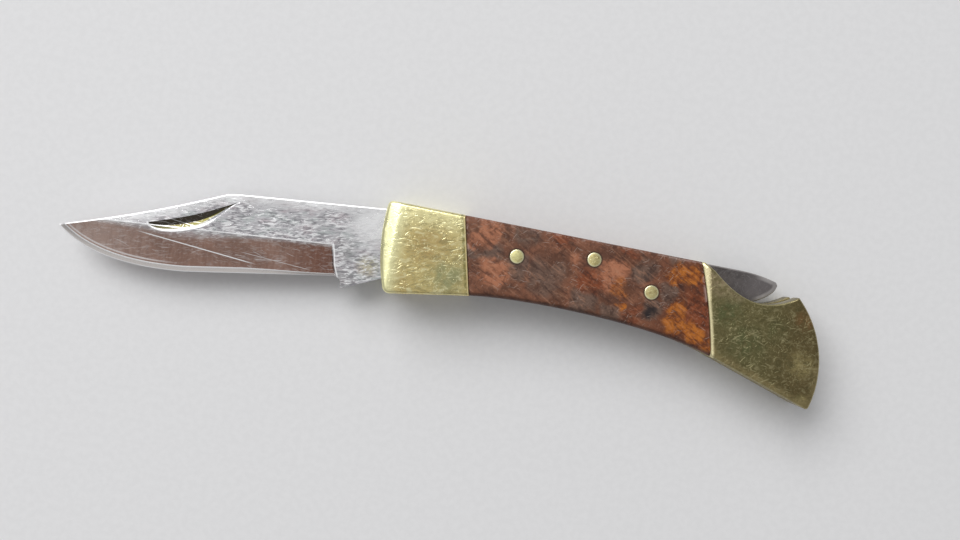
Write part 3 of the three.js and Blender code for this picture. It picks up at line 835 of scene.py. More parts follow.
def brass(s, tint, dark, pale, tarnish, roughness, strokes, stretch, mottling, marks):
    """Worn brass: dents, bowed scratches, darker tarnish in patches and bright rubbed edges.
    strokes is how strongly the scratches show and mottling how strongly the mottling does, which is
    longer with a smaller stretch. marks adds what one kind of piece has, painted highlights and shade
    among it, and says where it is clean or carries painted highlights."""
    where = s.place()
    skin = s.skin(where)
    edge = s.rim("edge")
    dented = s.use("dents", where, 1500.0)
    long_lines = s.use("scratches", skin, 0.3, 0.7, 330.0, 0.05, 0.9, 0.8)[0]
    short_lines = s.use("scratches", skin, 0.3, 2.6, 950.0, 0.09, 0.8, 0.7)[0]
    moved = s.vector("ADD", skin, (0.013, 0.007, 0.0))
    dark_lines = s.use("scratches", moved, 0.1, 0.8, 450.0, 0.05, 0.8, 0.6)[0]
    cloud = s.noise(where, 260.0, 4.0, 0.6, 0.8)
    stain = s.times(s.remap(cloud, 0.42, 0.75), tarnish, s.rest(s.near(edge, 0.1, 0.55)))
    base, clean_and_lit = marks(s, s.mix(stain, tint, dark))
    # Tarnish and mottling stay off clean places and off painted highlights
    dull = s.rest(s.times(clean_and_lit, 0.85))
    base = s.mix(s.times(dull, tarnish, dented["Pits"]), base, shade(dark, 0.5))
    mottle = s.vector("MULTIPLY", s.turned(where, -0.25), (stretch, 1.0, 1.0))
    mottle = s.noise(mottle, 1300.0, 4.0, 0.6, 0.9)
    base = s.mix(s.times(s.remap(mottle, 0.5, 0.36, 0.0, mottling), dull), base, shade(dark, 0.85))
    base = s.tints(base, (mottle, 0.54, 0.68, mottling, pale))
    base = s.mix(s.times(dull, strokes * 0.7, dark_lines), base, shade(dark, 0.8))
    lines = s.most(s.times(long_lines, strokes), s.times(short_lines, 0.55))
    base = s.mix(lines, base, pale)
    base = s.mix(s.near(edge, 0.08, 0.3, 0.6), base, pale)
    rough = s.plus(s.times(cloud, 0.14), roughness - 0.07)
    rough = s.plus(rough, s.times(stain, 0.14), clamp=True)
    height = s.minus(dented["Height"], s.times(lines, 0.65))
    return s.finish(base, rough, s.times(height, s.remap(edge, 0.1, 0.8, 0.25, 1.0)), 0.03 * MM)


def front_marks(s, base):
    """Painted highlights on the nose and along the top, a browner middle, a darker greener lower corner
    painted as shade, and beside the wood a painted shade band and a painted highlight line.
    """
    where = s.flat(s.place())
    x, y, _ = s.parts(where)
    patchy = s.remap(s.noise(where, 520.0, 4.0, 0.6, 0.6), 0.36, 0.62, 0.3, 1.0)
    # The browner middle is the brass's own tone; the darker, greener lower corner is painted shade
    base = s.areas(
        base, where, patchy,
        ((0.53, 0.37, 0.15), ((0.6, 3.0, 4.8, 0.85), (-2.4, -3.6, 2.6, 0.4))),
        ((0.36, 0.38, 0.20), ((4.6, -1.4, 4.4, 0.85), (1.6, -2.4, 2.2, 0.4))),
    )
    # Painted highlights: paler along the top of the bolster and on its sloping nose
    base = s.tints(base, (y, 0.0045, 0.0085, 0.85, (1.0, 0.93, 0.50)))
    nose = s.remap(x, -0.0028, -0.0058)
    base = s.mix(nose, base, (1.0, 0.97, 0.56))
    # Beside the wood: a painted shade band on the chamfer and a painted highlight line on its edge, both
    # kept clear of tarnish
    seam = s.mark("seam")
    broken = s.remap(s.noise(where, 800.0, 3.0), 0.35, 0.6, 0.3, 0.85)
    chamfer_shade = s.times(s.remap(seam, 0.2, 0.3), s.remap(seam, 0.9, 0.5), broken)
    base = s.mix(chamfer_shade, base, (0.28, 0.25, 0.08))
    line = s.remap(seam, 0.28, 0.18)
    return s.mix(line, base, (1.0, 0.72, 0.28)), s.most(nose, line)


def rear_marks(s, base):
    """A painted highlight on the chamfer beside the wood, browner and greener areas, and painted glints at
    the butt.
    """
    where = s.flat(s.place())
    x, y, _ = s.parts(where)
    patchy = s.remap(s.noise(where, 800.0, 4.0, 0.6), 0.36, 0.6, 0.2, 1.0)
    base = s.tints(base, (x, 0.0570, 0.0650, 0.7, (0.20, 0.145, 0.065)))
    base = s.areas(
        base, where, patchy,
        ((0.50, 0.39, 0.24), ((49.6, 7.4, 4.6, 1.0), (51.8, 4.8, 2.8, 0.6))),
        ((0.17, 0.19, 0.085), ((51.6, 2.0, 3.6, 0.8), (55.5, -2.6, 4.4, 0.7), (60.0, 0.5, 3.0, 0.4))),
        ((0.33, 0.25, 0.12), ((53.5, -6.6, 1.9, 0.7), (57.5, -8.1, 1.9, 0.7), (61.5, -9.5, 1.9, 0.6))),
        # Painted highlights: a pale glint near the butt and a reddish glint at its upper corner
        ((0.58, 0.48, 0.22), ((65.0, -4.4, 3.2, 0.7), (66.2, -10.4, 1.6, 0.9))),
        ((0.42, 0.21, 0.09), ((64.4, 3.0, 2.4, 0.5),)),
    )
    belly = s.times(s.near(s.mark("edge"), 0.5, 1.5, 0.75), s.remap(y, -0.0034, -0.0048), s.level())
    base = s.mix(belly, base, (0.40, 0.32, 0.155))
    # Painted highlight on the chamfer beside the wood, which also keeps it clear of tarnish
    lit_chamfer = s.near(s.mark("seam"), 0.3, 1.1, 0.95)
    return s.mix(lit_chamfer, base, (1.0, 0.90, 0.56)), lit_chamfer


def plain_marks(s, base):
    """Nothing beyond the tarnish."""
    return base, 0.0


def pin_marks(s, base):
    """The foremost pin is the brightest."""
    rim = s.remap(s.mark("edge"), 0.3, 0.15)
    base = s.areas(base, s.flat(s.place()), 1.0, ((1.0, 0.95, 0.46), ((14.0, 4.0, 4.0, 0.9),)))
    return s.mix(rim, base, (1.0, 0.96, 0.62)), rim


BRIGHT_STEEL = (0.92, 0.92, 0.93)
LONG_SCRATCH = ((-50.0, 0.45), (-28.0, -3.35))
FINE_SCRATCHES = (
    ((-32.0, -1.3), (-18.6, -3.3)),
    ((-29.2, -2.45), (-24.0, -2.1)),
    ((-44.5, 3.1), (-33.5, 0.9)),
)


def blade_tones(s, along, hollow, nick):
    """Colour of the steel before its scratches: flats with painted reflection tints and painted highlights,
    the hollow painted brown as a reflection, and painted shade and reflection in the nail nick.
    """
    f = bpy.context.scene.knife_finish
    flat_along = s.flat(along)
    x = s.parts(along)[0]
    cloud = s.noise(along, 170.0, 3.0, 0.55, 0.4)
    sheen = s.noise(s.vector("MULTIPLY", along, (0.4, 1.0, 1.0)), 700.0, 3.0, 0.6)
    streaks = s.noise(s.vector("MULTIPLY", along, (1.0, 0.1, 1.0)), 2400.0, 3.0, 0.6)
    steel = s.tints(
        f.steel,
        (cloud, 0.4, 0.7, 0.5, shade(f.steel, 0.8)),
        # Painted reflection: pink and green tints in patches on the flats
        (sheen, 0.5, 0.64, 0.5, (0.62, 0.52, 0.55)),
        (sheen, 0.48, 0.36, 0.5, (0.50, 0.57, 0.55)),
        (x, -0.0400, -0.0560, 0.3, shade(f.steel, 0.8)),
    )
    steel = s.areas(
        steel, flat_along, 1.0,
        ((0.42, 0.40, 0.40), ((-14.0, 0.8, 3.2, 0.5), (-13.0, -4.0, 3.0, 0.5))),
        ((0.66, 0.60, 0.38), ((-9.5, -1.5, 2.6, 0.7),)),
    )
    # Painted highlights: a bright patch on the ricasso and a band along the back
    shine = s.most(s.spots(flat_along, ((-9.0, 6.0, 6.5, 1.0),)), s.near(s.rim("back"), 0.2, 2.2, 0.85))
    steel = s.mix(shine, steel, (0.96, 0.96, 0.97))
    # Painted reflection: the hollow brown, paler towards the tip and darker towards the plunge
    brown = s.tints(
        f.hollow,
        (cloud, 0.35, 0.65, 1.0, shade(f.hollow, 0.75)),
        (x, -0.0420, -0.0590, 0.75, (0.56, 0.43, 0.38)),
        (x, -0.0260, -0.0170, 0.75, (0.22, 0.095, 0.062)),
        (streaks, 0.5, 0.66, 0.2, (0.55, 0.38, 0.32)),
        (streaks, 0.5, 0.36, 0.22, (0.20, 0.10, 0.075)),
    )
    # Painted reflection and shade in the nail nick: its slope olive to grey, its deeper parts darker
    thin = s.remap(x, -0.0400, -0.0335, 0.0, 0.3)
    depth = s.minus(nick, s.times(thin, s.remap(nick, 0.0, 0.1)))
    slope = s.mix(s.remap(x, -0.0400, -0.0360), (0.16, 0.155, 0.12), (0.085, 0.085, 0.09))
    base = s.tints(
        s.mix(hollow, steel, brown),
        (nick, 0.02, 0.2, 1.0, slope),
        (depth, 0.18, 0.30, 1.0, (0.11, 0.10, 0.035)),
        (depth, 0.38, 0.52, 1.0, (0.085, 0.072, 0.055)),
    )
    return base, shine, cloud


def blade_steel(s):
    """Polished steel with rippled flats, a hollow painted browner as a reflection, painted highlights along
    the grind line and other edges, and a ground edge.
    """
    along = s.turned(s.place(), -bpy.context.scene.knife_blade.lean)
    x = s.parts(along)[0]
    hollow = s.times(s.mark("hollow"), s.level())
    bevel, nick = s.mark("bevel"), s.mark("nick")
    waves = s.use("ripples", along, 0.1, 3000.0)[0]
    long_lines = s.use("scratches", s.skin(along), -0.05, 0.45, 210.0, 0.014, 0.8)[0]
    short_lines = s.use("scratches", s.skin(along), 0.2, 1.2, 700.0, 0.06, 0.7, 0.6)[0]
    lines = s.most(long_lines, s.times(short_lines, s.minus(0.9, s.times(hollow, 0.55))))
    base, shine, cloud = blade_tones(s, along, hollow, nick)
    cut = s.remap(nick, 0.0, 0.05)
    flat = s.rest(s.most(s.times(hollow, 0.85), cut))
    # The ripples are painted as reflections: bright flecks, and dark flecks that the painted highlights
    # hold back
    dark_reflection = s.times(flat, s.minus(0.75, s.times(shine, 0.62)))
    base = s.mix(s.times(s.remap(waves, 0.005, 0.09), flat), base, (0.97, 0.97, 0.98))
    base = s.mix(s.times(s.remap(waves, -0.005, -0.09), dark_reflection), base, (0.27, 0.26, 0.28))
    base = s.mix(s.times(lines, 0.5), base, BRIGHT_STEEL)
    # The sharpened bevel is painted paler: its ground finish, with painted highlight
    base = s.mix(s.times(s.remap(bevel, 0.96, 0.90), 0.8), base, (0.90, 0.87, 0.85))
    second_bevel = s.near(s.size(s.minus(bevel, 1.6)), 0.05, 0.25, 0.6)
    left_of_plunge = s.remap(x, -0.0155, -0.0165)
    # Painted highlights along the bevel, the back, the nick's lower lip, the grind line and the plunge, and
    # the bright scratches
    highlights_and_scratches = s.most(
        s.near(s.size(s.minus(bevel, 1.0)), 0.05, 0.22),
        s.near(bevel, 0.06, 0.26),
        s.times(second_bevel, s.remap(x, -0.0400, -0.0480)),
        s.near(s.rim("back"), 0.10, 0.24),
        s.times(s.near(s.mark("rim"), 0.10, 0.24), s.remap(x, -0.0350, -0.0390, 0.15, 1.0)),
        s.times(s.near(s.size(s.mark("grind")), 0.05, 0.14), left_of_plunge, 0.85),
        s.near(s.mark("plunge"), 0.1, 0.28, 0.8),
        s.streak(along, *LONG_SCRATCH, 0.12),
        *(s.times(s.streak(along, *ends, 0.07), 0.6) for ends in FINE_SCRATCHES),
    )
    rough = s.plus(s.times(highlights_and_scratches, 0.2), s.times(cut, -0.04))
    rough = s.plus(s.remap(cloud, 0.3, 0.7, 0.2, 0.3), rough, clamp=True)
    height = s.minus(s.times(waves, flat), s.times(lines, 0.3))
    return s.finish(s.mix(highlights_and_scratches, base, BRIGHT_STEEL), rough, height, 0.014 * MM)


def lock_steel(s):
    """Dull steel with a satin grain, light scratches and a bright worn end."""
    f = bpy.context.scene.knife_finish
    where = s.place()
    x = s.parts(where)[0]
    edge = s.rim("edge")
    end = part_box("lock_bar")[1].x
    lines = s.use("scratches", s.skin(where), -0.5, 0.9, 520.0, 0.05, 0.8, 0.5)[0]
    grain = s.use("ripples", where, 0.9, 4200.0)[0]
    cloud = s.noise(where, 420.0, 5.0, 0.6, 0.5)
    base = s.tints(
        shade(f.lock, 0.68),
        (cloud, 0.35, 0.65, 1.0, f.lock),
        (x, end - 0.010, end - 0.002, 0.75, (0.245, 0.225, 0.23)),
        (grain, 0.02, 0.12, 0.3, (0.34, 0.32, 0.32)),
    )
    base = s.mix(s.times(lines, 0.28), base, (0.5, 0.48, 0.48))
    base = s.mix(s.near(edge, 0.1, 0.3, 0.8), base, (0.48, 0.45, 0.44))
    tail = s.times(s.near(edge, 0.45, 0.85, 0.8), s.remap(x, end - 0.0045, end - 0.002))
    base = s.mix(tail, base, (0.58, 0.55, 0.54))
    height = s.minus(grain, s.times(lines, 0.4))
    return s.finish(base, s.remap(cloud, 0.3, 0.7, 0.34, 0.46), height, 0.008 * MM)


# Patches of the burl: x, y, radius and strength
ROSE_PATCHES = (
    (9.8, 7.6, 3.8, 1.0), (7.8, 6.0, 3.2, 0.7), (12.2, 1.0, 3.9, 0.9), (25.2, 5.6, 2.6, 0.6),
    (31.8, 4.4, 4.0, 1.0),
)
RED_PATCHES = (
    (22.4, 8.8, 3.6, 0.8), (28.3, 3.0, 4.2, 0.9), (33.5, 8.2, 3.4, 0.6), (36.0, -1.6, 3.6, 0.6),
    (46.8, 1.2, 5.0, 1.0), (47.4, 5.6, 4.0, 0.8),
)
AMBER_PATCHES = (
    (42.2, 6.3, 3.2, 1.0), (45.4, 6.6, 2.8, 1.0), (42.9, 0.4, 2.3, 0.9), (43.3, -2.0, 2.8, 1.0),
    (46.0, -3.2, 3.2, 1.0), (48.6, -4.0, 2.6, 0.8), (33.5, 0.2, 1.4, 0.8), (33.2, 2.6, 2.6, 0.6),
)
GREY_PATCHES = (
    (8.2, 3.4, 2.6, 1.0), (11.4, 3.9, 2.8, 1.0), (15.8, 2.4, 3.4, 0.9), (16.4, 7.8, 3.0, 0.8),
    (20.6, 1.6, 5.4, 0.7), (27.6, -1.0, 3.8, 1.0), (32.0, -2.0, 3.0, 0.8), (36.4, 6.4, 3.8, 1.0),
    (40.6, 2.8, 2.6, 1.0), (38.9, -0.2, 3.0, 0.9), (41.6, 9.0, 2.6, 0.7),
)
KNOTS = ((38.7, -0.6, 1.5, 1.0), (37.6, 5.0, 1.2, 0.5), (43.2, 3.9, 1.4, 0.5))


def burl_wood(s):
    """Burl wood: red-brown ground, rose, red and amber patches, grey clouds, knots, fine scratches, pale
    worn edges with painted highlight towards the top, and painted shade on the walls that face the belly.
    """
    f = bpy.context.scene.knife_finish
    where = s.place()
    x, y, _ = s.parts(where)
    push = s.vector("SUBTRACT", s.noise(where, 230.0, 3.0, 0.55, output="Color"), (0.5, 0.5, 0.5))
    bent = s.flat(s.vector("ADD", where, s.scaled(push, 0.0055)))
    swirl = s.noise(bent, 330.0, 3.0, 0.5, 0.6)
    curls = s.noise(where, 620.0, 4.0, 0.58, 0.9)
    ridges = s.noise(s.vector("MULTIPLY", s.turned(where, 0.5), (0.2, 1.0, 1.0)), 1500.0, 3.0, 0.55, 0.8)
    flecks = s.noise(where, 2600.0, 3.0, 0.6, 0.8)
    base = s.tints(
        shade(f.wood_red, 0.68),
        (swirl, 0.36, 0.64, 1.0, shade(f.wood_red, 1.15)),
        (x, 0.0370, 0.0430, 0.75, (0.13, 0.036, 0.012)),
    )
    tones = (
        (GREY_PATCHES, f.wood_grey, shade(f.wood_grey, 0.62)),
        (RED_PATCHES, (0.225, 0.057, 0.018), (0.095, 0.024, 0.009)),
        (ROSE_PATCHES, (0.44, 0.175, 0.092), (0.24, 0.090, 0.046)),
        (AMBER_PATCHES, (0.49, 0.155, 0.018), (0.22, 0.058, 0.010)),
    )
    grain = s.plus(s.times(curls, 0.6), s.times(ridges, 0.4))
    for places, light, deep in tones:
        tone = s.mix(s.remap(grain, 0.40, 0.58), deep, light)
        cover = s.times(s.spots(bent, places), s.remap(swirl, 0.32, 0.52, 0.45, 1.0))
        base = s.tints(base, (cover, 0.12, 0.8, 0.92, tone))
    base = s.tints(
        base,
        (curls, 0.45, 0.33, 0.4, (0.045, 0.018, 0.013)),
        (ridges, 0.46, 0.32, 0.5, (0.045, 0.018, 0.013)),
        (ridges, 0.56, 0.70, 0.35, (0.44, 0.22, 0.13)),
        (flecks, 0.45, 0.32, 0.4, (0.05, 0.022, 0.016)),
        (flecks, 0.56, 0.70, 0.3, (0.40, 0.22, 0.15)),
    )
    base = s.areas(base, bent, 0.92, ((0.014, 0.011, 0.013), KNOTS))
    lines = s.use("scratches", s.skin(where), 0.5, 1.0, 480.0, 0.04, 0.7, 0.9)[0]
    base = s.mix(s.times(lines, 0.5), base, (0.50, 0.38, 0.32))
    # Pale edges: wear, with painted highlight that grows towards the top
    worn_lit_edge = s.times(s.near(s.mark("edge"), 0.05, 0.6), s.remap(curls, 0.46, 0.58), s.level())
    base = s.mix(s.times(worn_lit_edge, s.remap(y, 0.0, 0.004, 0.1, 0.7)), base, (0.42, 0.31, 0.28))
    # Painted shade on the walls that face the belly
    base = s.tints(base, (s.facing()[1], -0.15, -0.7, 0.6, (0.03, 0.012, 0.01)))
    for node in ("front_scale_pin_upper", "lock_bar_pin", "rear_scale_pin_upper"):
        centre = centre_of(node)
        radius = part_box(node)[1].x - centre[0]
        gap = s.distance(s.flat(where), *centre)
        base = s.mix(s.near(gap, radius + 0.05 * MM, radius + 0.35 * MM, 0.75), base, (0.03, 0.018, 0.012))
    rough = s.plus(s.remap(curls, 0.3, 0.7, 0.36, 0.54), s.times(lines, 0.2))
    height = s.plus(s.times(curls, 0.5), s.times(ridges, 0.5))
    height = s.minus(s.plus(height, s.times(flecks, 0.3)), s.times(lines, 0.4))
    waxed = {"Specular IOR Level": 0.28, "Coat Weight": 0.08, "Coat Roughness": 0.25}
    return {**s.finish(base, rough, height, 0.06 * MM, metallic=0.0), **waxed}


def pale_floor(s):
    """A matt floor with a faint grain."""
    floor = bpy.context.scene.knife_studio.floor
    grain = s.remap(s.noise(s.place(), 900.0, 3.0), 0.3, 0.7)
    base = s.mix(grain, shade(floor, 0.97), floor)
    return {"Base Color": base, "Roughness": 0.9, "Specular IOR Level": 0.15}


def paints():
    """For each finish, the function that gives the inputs of its shader."""
    f = bpy.context.scene.knife_finish
    inner = shade(f.aged, 0.8)
    return {
        "front_brass": lambda s: brass(
            s, f.brass, (0.44, 0.38, 0.18), (1.0, 0.95, 0.58), 0.7, 0.28, 0.85, 0.4, 0.6, front_marks
        ),
        "rear_brass": lambda s: brass(
            s, f.aged, (0.15, 0.135, 0.062), (0.56, 0.50, 0.28), 0.6, 0.36, 0.75, 0.8, 0.45, rear_marks
        ),
        "inner_brass": lambda s: brass(
            s, inner, (0.12, 0.095, 0.045), (0.6, 0.5, 0.26), 1.0, 0.36, 0.4, 0.6, 0.5, plain_marks
        ),
        "pin_brass": lambda s: brass(
            s, f.pin, (0.46, 0.31, 0.14), (1.0, 0.95, 0.56), 0.5, 0.28, 0.5, 0.6, 0.4, pin_marks
        ),
        "blade_steel": blade_steel,
        "lock_steel": lock_steel,
        "burl_wood": burl_wood,
        "floor": pale_floor,
    }


def material_named(name):
    """The material of that name, made the first time that it is asked for."""
    found = bpy.data.materials.get("worn_" + name)
    if found:
        return found
    material = bpy.data.materials.new("worn_" + name)
    material.use_nodes = True
    s = Shading(material.node_tree)
    s.put(material.node_tree.nodes["Principled BSDF"], paints()[name](s))
    return material


# Pieces


def added(mesh, body, node):
    """Puts a mesh in the scene as a piece that rides on a body and stands for a CAD node."""
    piece = bpy.data.objects.new(mesh.name, mesh)
    bpy.context.scene.collection.objects.link(piece)
    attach(piece, body)
    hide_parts(node)
    return piece


def dress(piece, material):
    piece.data.materials.append(material_named(material))


def add_pair(stem, upper, material):
    """Adds an upper piece of the handle and its mirror image on the lower side."""
    lower = mirrored(upper, stem + "_lower", layers()["top"])
    for side, mesh in (("_upper", upper), ("_lower", lower)):
        dress(added(mesh, "handle", stem + side), material)


class KNIFE_OT_front_bolsters(bpy.types.Operator):
    """Make the two yellow brass bolsters at the blade's end of the handle"""

    bl_idname = "knife.front_bolsters"
    bl_label = "Front Bolsters"

    def execute(self, context):
        h = context.scene.knife_handle
        lines, z = HandleLines(), layers()
        nose = lines.nose()
        seam = lines.front_seam()
        edges = [
            (np.array([nose[-1], lines.belly_start]), h.bolster_edge),
            (seam, h.seam_edge * SEAM_SHARE),
            (np.array([seam[1], nose[0]]), h.bolster_edge),
            (nose, h.bolster_edge),
        ]
        slope_start = h.slope_length - h.nose_reach
        soft_start = 0.2 * MM

        def surface(flat):
            fall = np.maximum(slope_start - flat[:, 0], 0)
            soft = np.sqrt(fall**2 + soft_start**2) - soft_start
            crown = ((flat[:, 1] - h.nose_crown * 0.5) / h.spine_height) ** 2
            return z["top"] - soft * h.slope_drop / h.slope_length - h.crown * crown

        def from_seam(flat):
            return distance_to(flat, seam) / MM

        spacing = 0.28 * MM
        upper = edged_plate("front_bolster_upper", edges, z["liner_high"], surface, spacing, seam=from_seam)
        add_pair("front_bolster", upper, "front_brass")
        return {"FINISHED"}


class KNIFE_OT_rear_bolsters(bpy.types.Operator):
    """Make the two tarnished brass bolsters with the thumb notch at the butt"""

    bl_idname = "knife.rear_bolsters"
    bl_label = "Rear Bolsters"

    def execute(self, context):
        h = context.scene.knife_handle
        lines, z = HandleLines(), layers()
        seam = lines.rear_seam()
        butt = lines.butt()
        edges = [
            (np.array([lines.rear_seam_foot, butt[0]]), h.bolster_edge * 0.7),
            (butt, h.bolster_edge),
            (lines.notch(), h.seam_edge),
            (np.array([lines.notch_start, lines.shoulder, seam[-1]]), h.bolster_edge),
            (seam[::-1], h.seam_edge * SEAM_SHARE),
        ]
        chamfer_slope = 0.36
        crown_start, crown_reach = 55 * MM, 14 * MM

        def chamfer_width(y):
            heights = [-h.rear_belly, lines.spine / 3, lines.spine]
            return np.interp(y, heights, [h.chamfer_belly, h.chamfer_belly, h.chamfer_spine])

        def surface(flat):
            width = chamfer_width(flat[:, 1])
            chamfer = np.maximum(width - distance_to(flat, seam), 0) * chamfer_slope
            away = np.maximum((flat[:, 0] - crown_start) / crown_reach, 0)
            return z["top"] - np.maximum(chamfer, h.crown * 0.5 * away**2)

        def from_seam(flat):
            return distance_to(flat, seam) / chamfer_width(flat[:, 1])

        inner = seam + np.stack([chamfer_width(seam[:, 1]), 0 * seam[:, 1]], 1)
        low, spacing = z["liner_high"], 0.28 * MM
        upper = edged_plate("rear_bolster_upper", edges, low, surface, spacing, [inner], from_seam)
        add_pair("rear_bolster", upper, "rear_brass")
        return {"FINISHED"}


class KNIFE_OT_scales(bpy.types.Operator):
    """Make the two burl wood scales between the bolsters"""

    bl_idname = "knife.scales"
    bl_label = "Scales"

    def execute(self, context):
        h = context.scene.knife_handle
        lines, z = HandleLines(), layers()
        belly = lines.belly()
        front = lines.front_seam(h.seam_gap)
        rear = lines.rear_seam(-h.seam_gap)
        keep = (belly[:, 0] > front[0][0]) & (belly[:, 0] < rear[0][0])
        for seam in (front, rear):
            seam[0] = point(seam[0][0], np.interp(seam[0][0], belly[:, 0], belly[:, 1]))
        edges = [
            (np.vstack([front[0], belly[keep], rear[0]]), h.wood_edge),
            (rear, h.seam_edge * SEAM_SHARE),
            (np.array([rear[-1], front[1]]), h.wood_edge),
            (front[::-1], h.seam_edge * SEAM_SHARE),
        ]
        middle, half, crown = 3 * MM, 6.5 * MM, 0.12 * MM

        def surface(flat):
            return z["top"] - h.wood_recess - crown * ((flat[:, 1] - middle) / half) ** 2

        upper = edged_plate("scale_upper", edges, z["liner_high"], surface, 0.32 * MM)
        add_pair("scale", upper, "burl_wood")
        return {"FINISHED"}


class KNIFE_OT_liners(bpy.types.Operator):
    """Make the two thin brass liners beside the blade"""

    bl_idname = "knife.liners"
    bl_label = "Liners"

    def execute(self, context):
        z = layers()
        outline = HandleLines().whole()
        upper = soft_plate("liner_upper", outline, z["liner_low"], z["liner_high"], 0.07 * MM, 0.35 * MM)
        add_pair("liner", upper, "inner_brass")
        return {"FINISHED"}


# The worn rim of a pin's head, inwards and down as shares of its width
PIN_RIM = ((0, 1), (0.12, 0.55), (0.5, 0.12), (1, 0))


def pin_profile(radius, dome, top):
    """From the rim of the head up to its middle: a worn rim and a low dome."""
    rim = 0.1 * radius
    edge = [(radius - rim * inwards, top - rim * fall) for inwards, fall in PIN_RIM]
    rise = [((radius - rim) * c, top + dome * (1 - c * c)) for c in np.linspace(0.92, 0.0, 10)]
    return edge + rise


def lathe_mesh(name, profile, centre, steps=64):
    """Spins a profile of radius and height round an upright axis. Its ends lie on the axis."""
    verts, faces = [], []
    inner = profile[1:-1]
    for radius, height in inner:
        for k in range(steps):
            turn = 2 * math.pi * k / steps
            verts.append((centre[0] + radius * math.cos(turn), centre[1] + radius * math.sin(turn), height))
    for row in range(len(inner) - 1):
        for k in range(steps):
            a, b = row * steps + k, row * steps + (k + 1) % steps
            faces.append((a, b, b + steps, a + steps))
    foot, head = len(verts), len(verts) + 1
    verts += [(*centre, profile[0][1]), (*centre, profile[-1][1])]
    last = (len(inner) - 1) * steps
    for k in range(steps):
        n = (k + 1) % steps
        faces += [(n, k, foot), (last + k, last + n, head)]
    mesh = smooth_mesh(name, verts, faces)
    outer = max(radius for radius, height in profile)
    depth = [(outer - math.hypot(v[0] - centre[0], v[1] - centre[1])) / MM for v in verts]
    add_mark(mesh, "edge", "POINT", depth)
    return mesh


class KNIFE_OT_scale_pins(bpy.types.Operator):
    """Make the brass pins whose heads show in the wood"""

    bl_idname = "knife.scale_pins"
    bl_label = "Scale Pins"

    def execute(self, context):
        top = layers()["top"]
        head = top - context.scene.knife_handle.wood_recess
        dome = (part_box("lock_bar_pin")[1].z - head) * 0.5
        for stem in ("front_scale_pin", "rear_scale_pin"):
            centre = centre_of(stem + "_upper")
            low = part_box(stem + "_upper")[0]
            radius = centre[0] - low.x
            profile = [(0, low.z), (radius, low.z), *pin_profile(radius, dome, head + dome)]
            add_pair(stem, lathe_mesh(stem + "_upper", profile, centre), "pin_brass")
        centre = centre_of("lock_bar_pin")
        radius = centre[0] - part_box("lock_bar_pin")[0].x
        rise = pin_profile(radius, dome, head + dome)
        fall = [(r, top - height) for r, height in reversed(rise)]
        pin = lathe_mesh("lock_bar_pin", [*fall, *rise], centre)
        dress(added(pin, "handle", "lock_bar_pin"), "pin_brass")
        return {"FINISHED"}


class KNIFE_OT_hidden_pins(bpy.types.Operator):
    """Make the pivot pin, the rivets and the butt pins, ground away just under the bolsters"""

    bl_idname = "knife.hidden_pins"
    bl_label = "Hidden Pins"

    def execute(self, context):
        sunk, bevel = 0.12 * MM, 0.1 * MM
        rivets = [f"bolster_rivet_{count}_{side}" for count in (1, 2) for side in ("upper", "lower")]
        for node in ("blade_pivot_pin", "butt_pin_1", "butt_pin_2", *rivets):
            low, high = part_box(node)
            centre = centre_of(node)
            radius = centre[0] - low.x
            foot, head = low.z + sunk, high.z - sunk
            rise = [(0, foot), (radius - bevel, foot), (radius, foot + bevel)]
            fall = [(radius, head - bevel), (radius - bevel, head), (0, head)]
            dress(added(lathe_mesh(node, rise + fall, centre), "handle", node), "inner_brass")
        return {"FINISHED"}


def traced_outline(node):
    """The outer outline of a flat CAD node, seen from above."""
    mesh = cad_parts[node].data
    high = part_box(node)[1].z
    onward = {}
    places = {}
    for face in mesh.polygons:
        corners = [mesh.vertices[i].co for i in face.vertices]
        if face.normal.z < 0.99 or any(abs(c.z - high) > 1e-6 for c in corners):
            continue
        keys = [(round(c.x, 7), round(c.y, 7)) for c in corners]
        for key, c in zip(keys, corners):
            places[key] = point(c.x, c.y)
        for a, b in zip(keys, keys[1:] + keys[:1]):
            if (b, a) in onward:
                del onward[(b, a)]
            else:
                onward[(a, b)] = True
    following = {a: b for a, b in onward}
    loops = []
    while following:
        start, here = next(iter(following.items()))
        loop = [places[start]]
        del following[start]
        while here != start:
            loop.append(places[here])
            here = following.pop(here)
        loops.append(np.array(loop))
    return max(loops, key=lambda loop: np.ptp(loop[:, 0]))


def traced_plate(node, layer, edge, holes=()):
    """A soft plate with the outline of a flat CAD node, between the heights of its layer."""
    z = layers()
    low, high = z[layer + "_low"], z[layer + "_high"]
    return soft_plate(node, traced_outline(node), low, high, edge, 0.2 * MM, holes)


class KNIFE_OT_lock_bar(bpy.types.Operator):
    """Make the steel lock bar that rocks in the back of the handle"""

    bl_idname = "knife.lock_bar"
    bl_label = "Lock Bar"

    def execute(self, context):
        centre = centre_of("lock_bar_pin")
        hole = circle(centre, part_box("lock_bar_pin")[1].x - centre[0] + BORE_PLAY)
        mesh = traced_plate("lock_bar", "blade", 0.14 * MM, [hole])
        dress(added(mesh, "lock_bar", "lock_bar"), "lock_steel")
        return {"FINISHED"}


class KNIFE_OT_butt_spacer(bpy.types.Operator):
    """Make the brass spacer that fills the butt and holds the spring"""

    bl_idname = "knife.butt_spacer"
    bl_label = "Butt Spacer"

    def execute(self, context):
        mesh = traced_plate("butt_spacer", "channel", 0.05 * MM)
        dress(added(mesh, "handle", "butt_spacer"), "inner_brass")
        return {"FINISHED"}


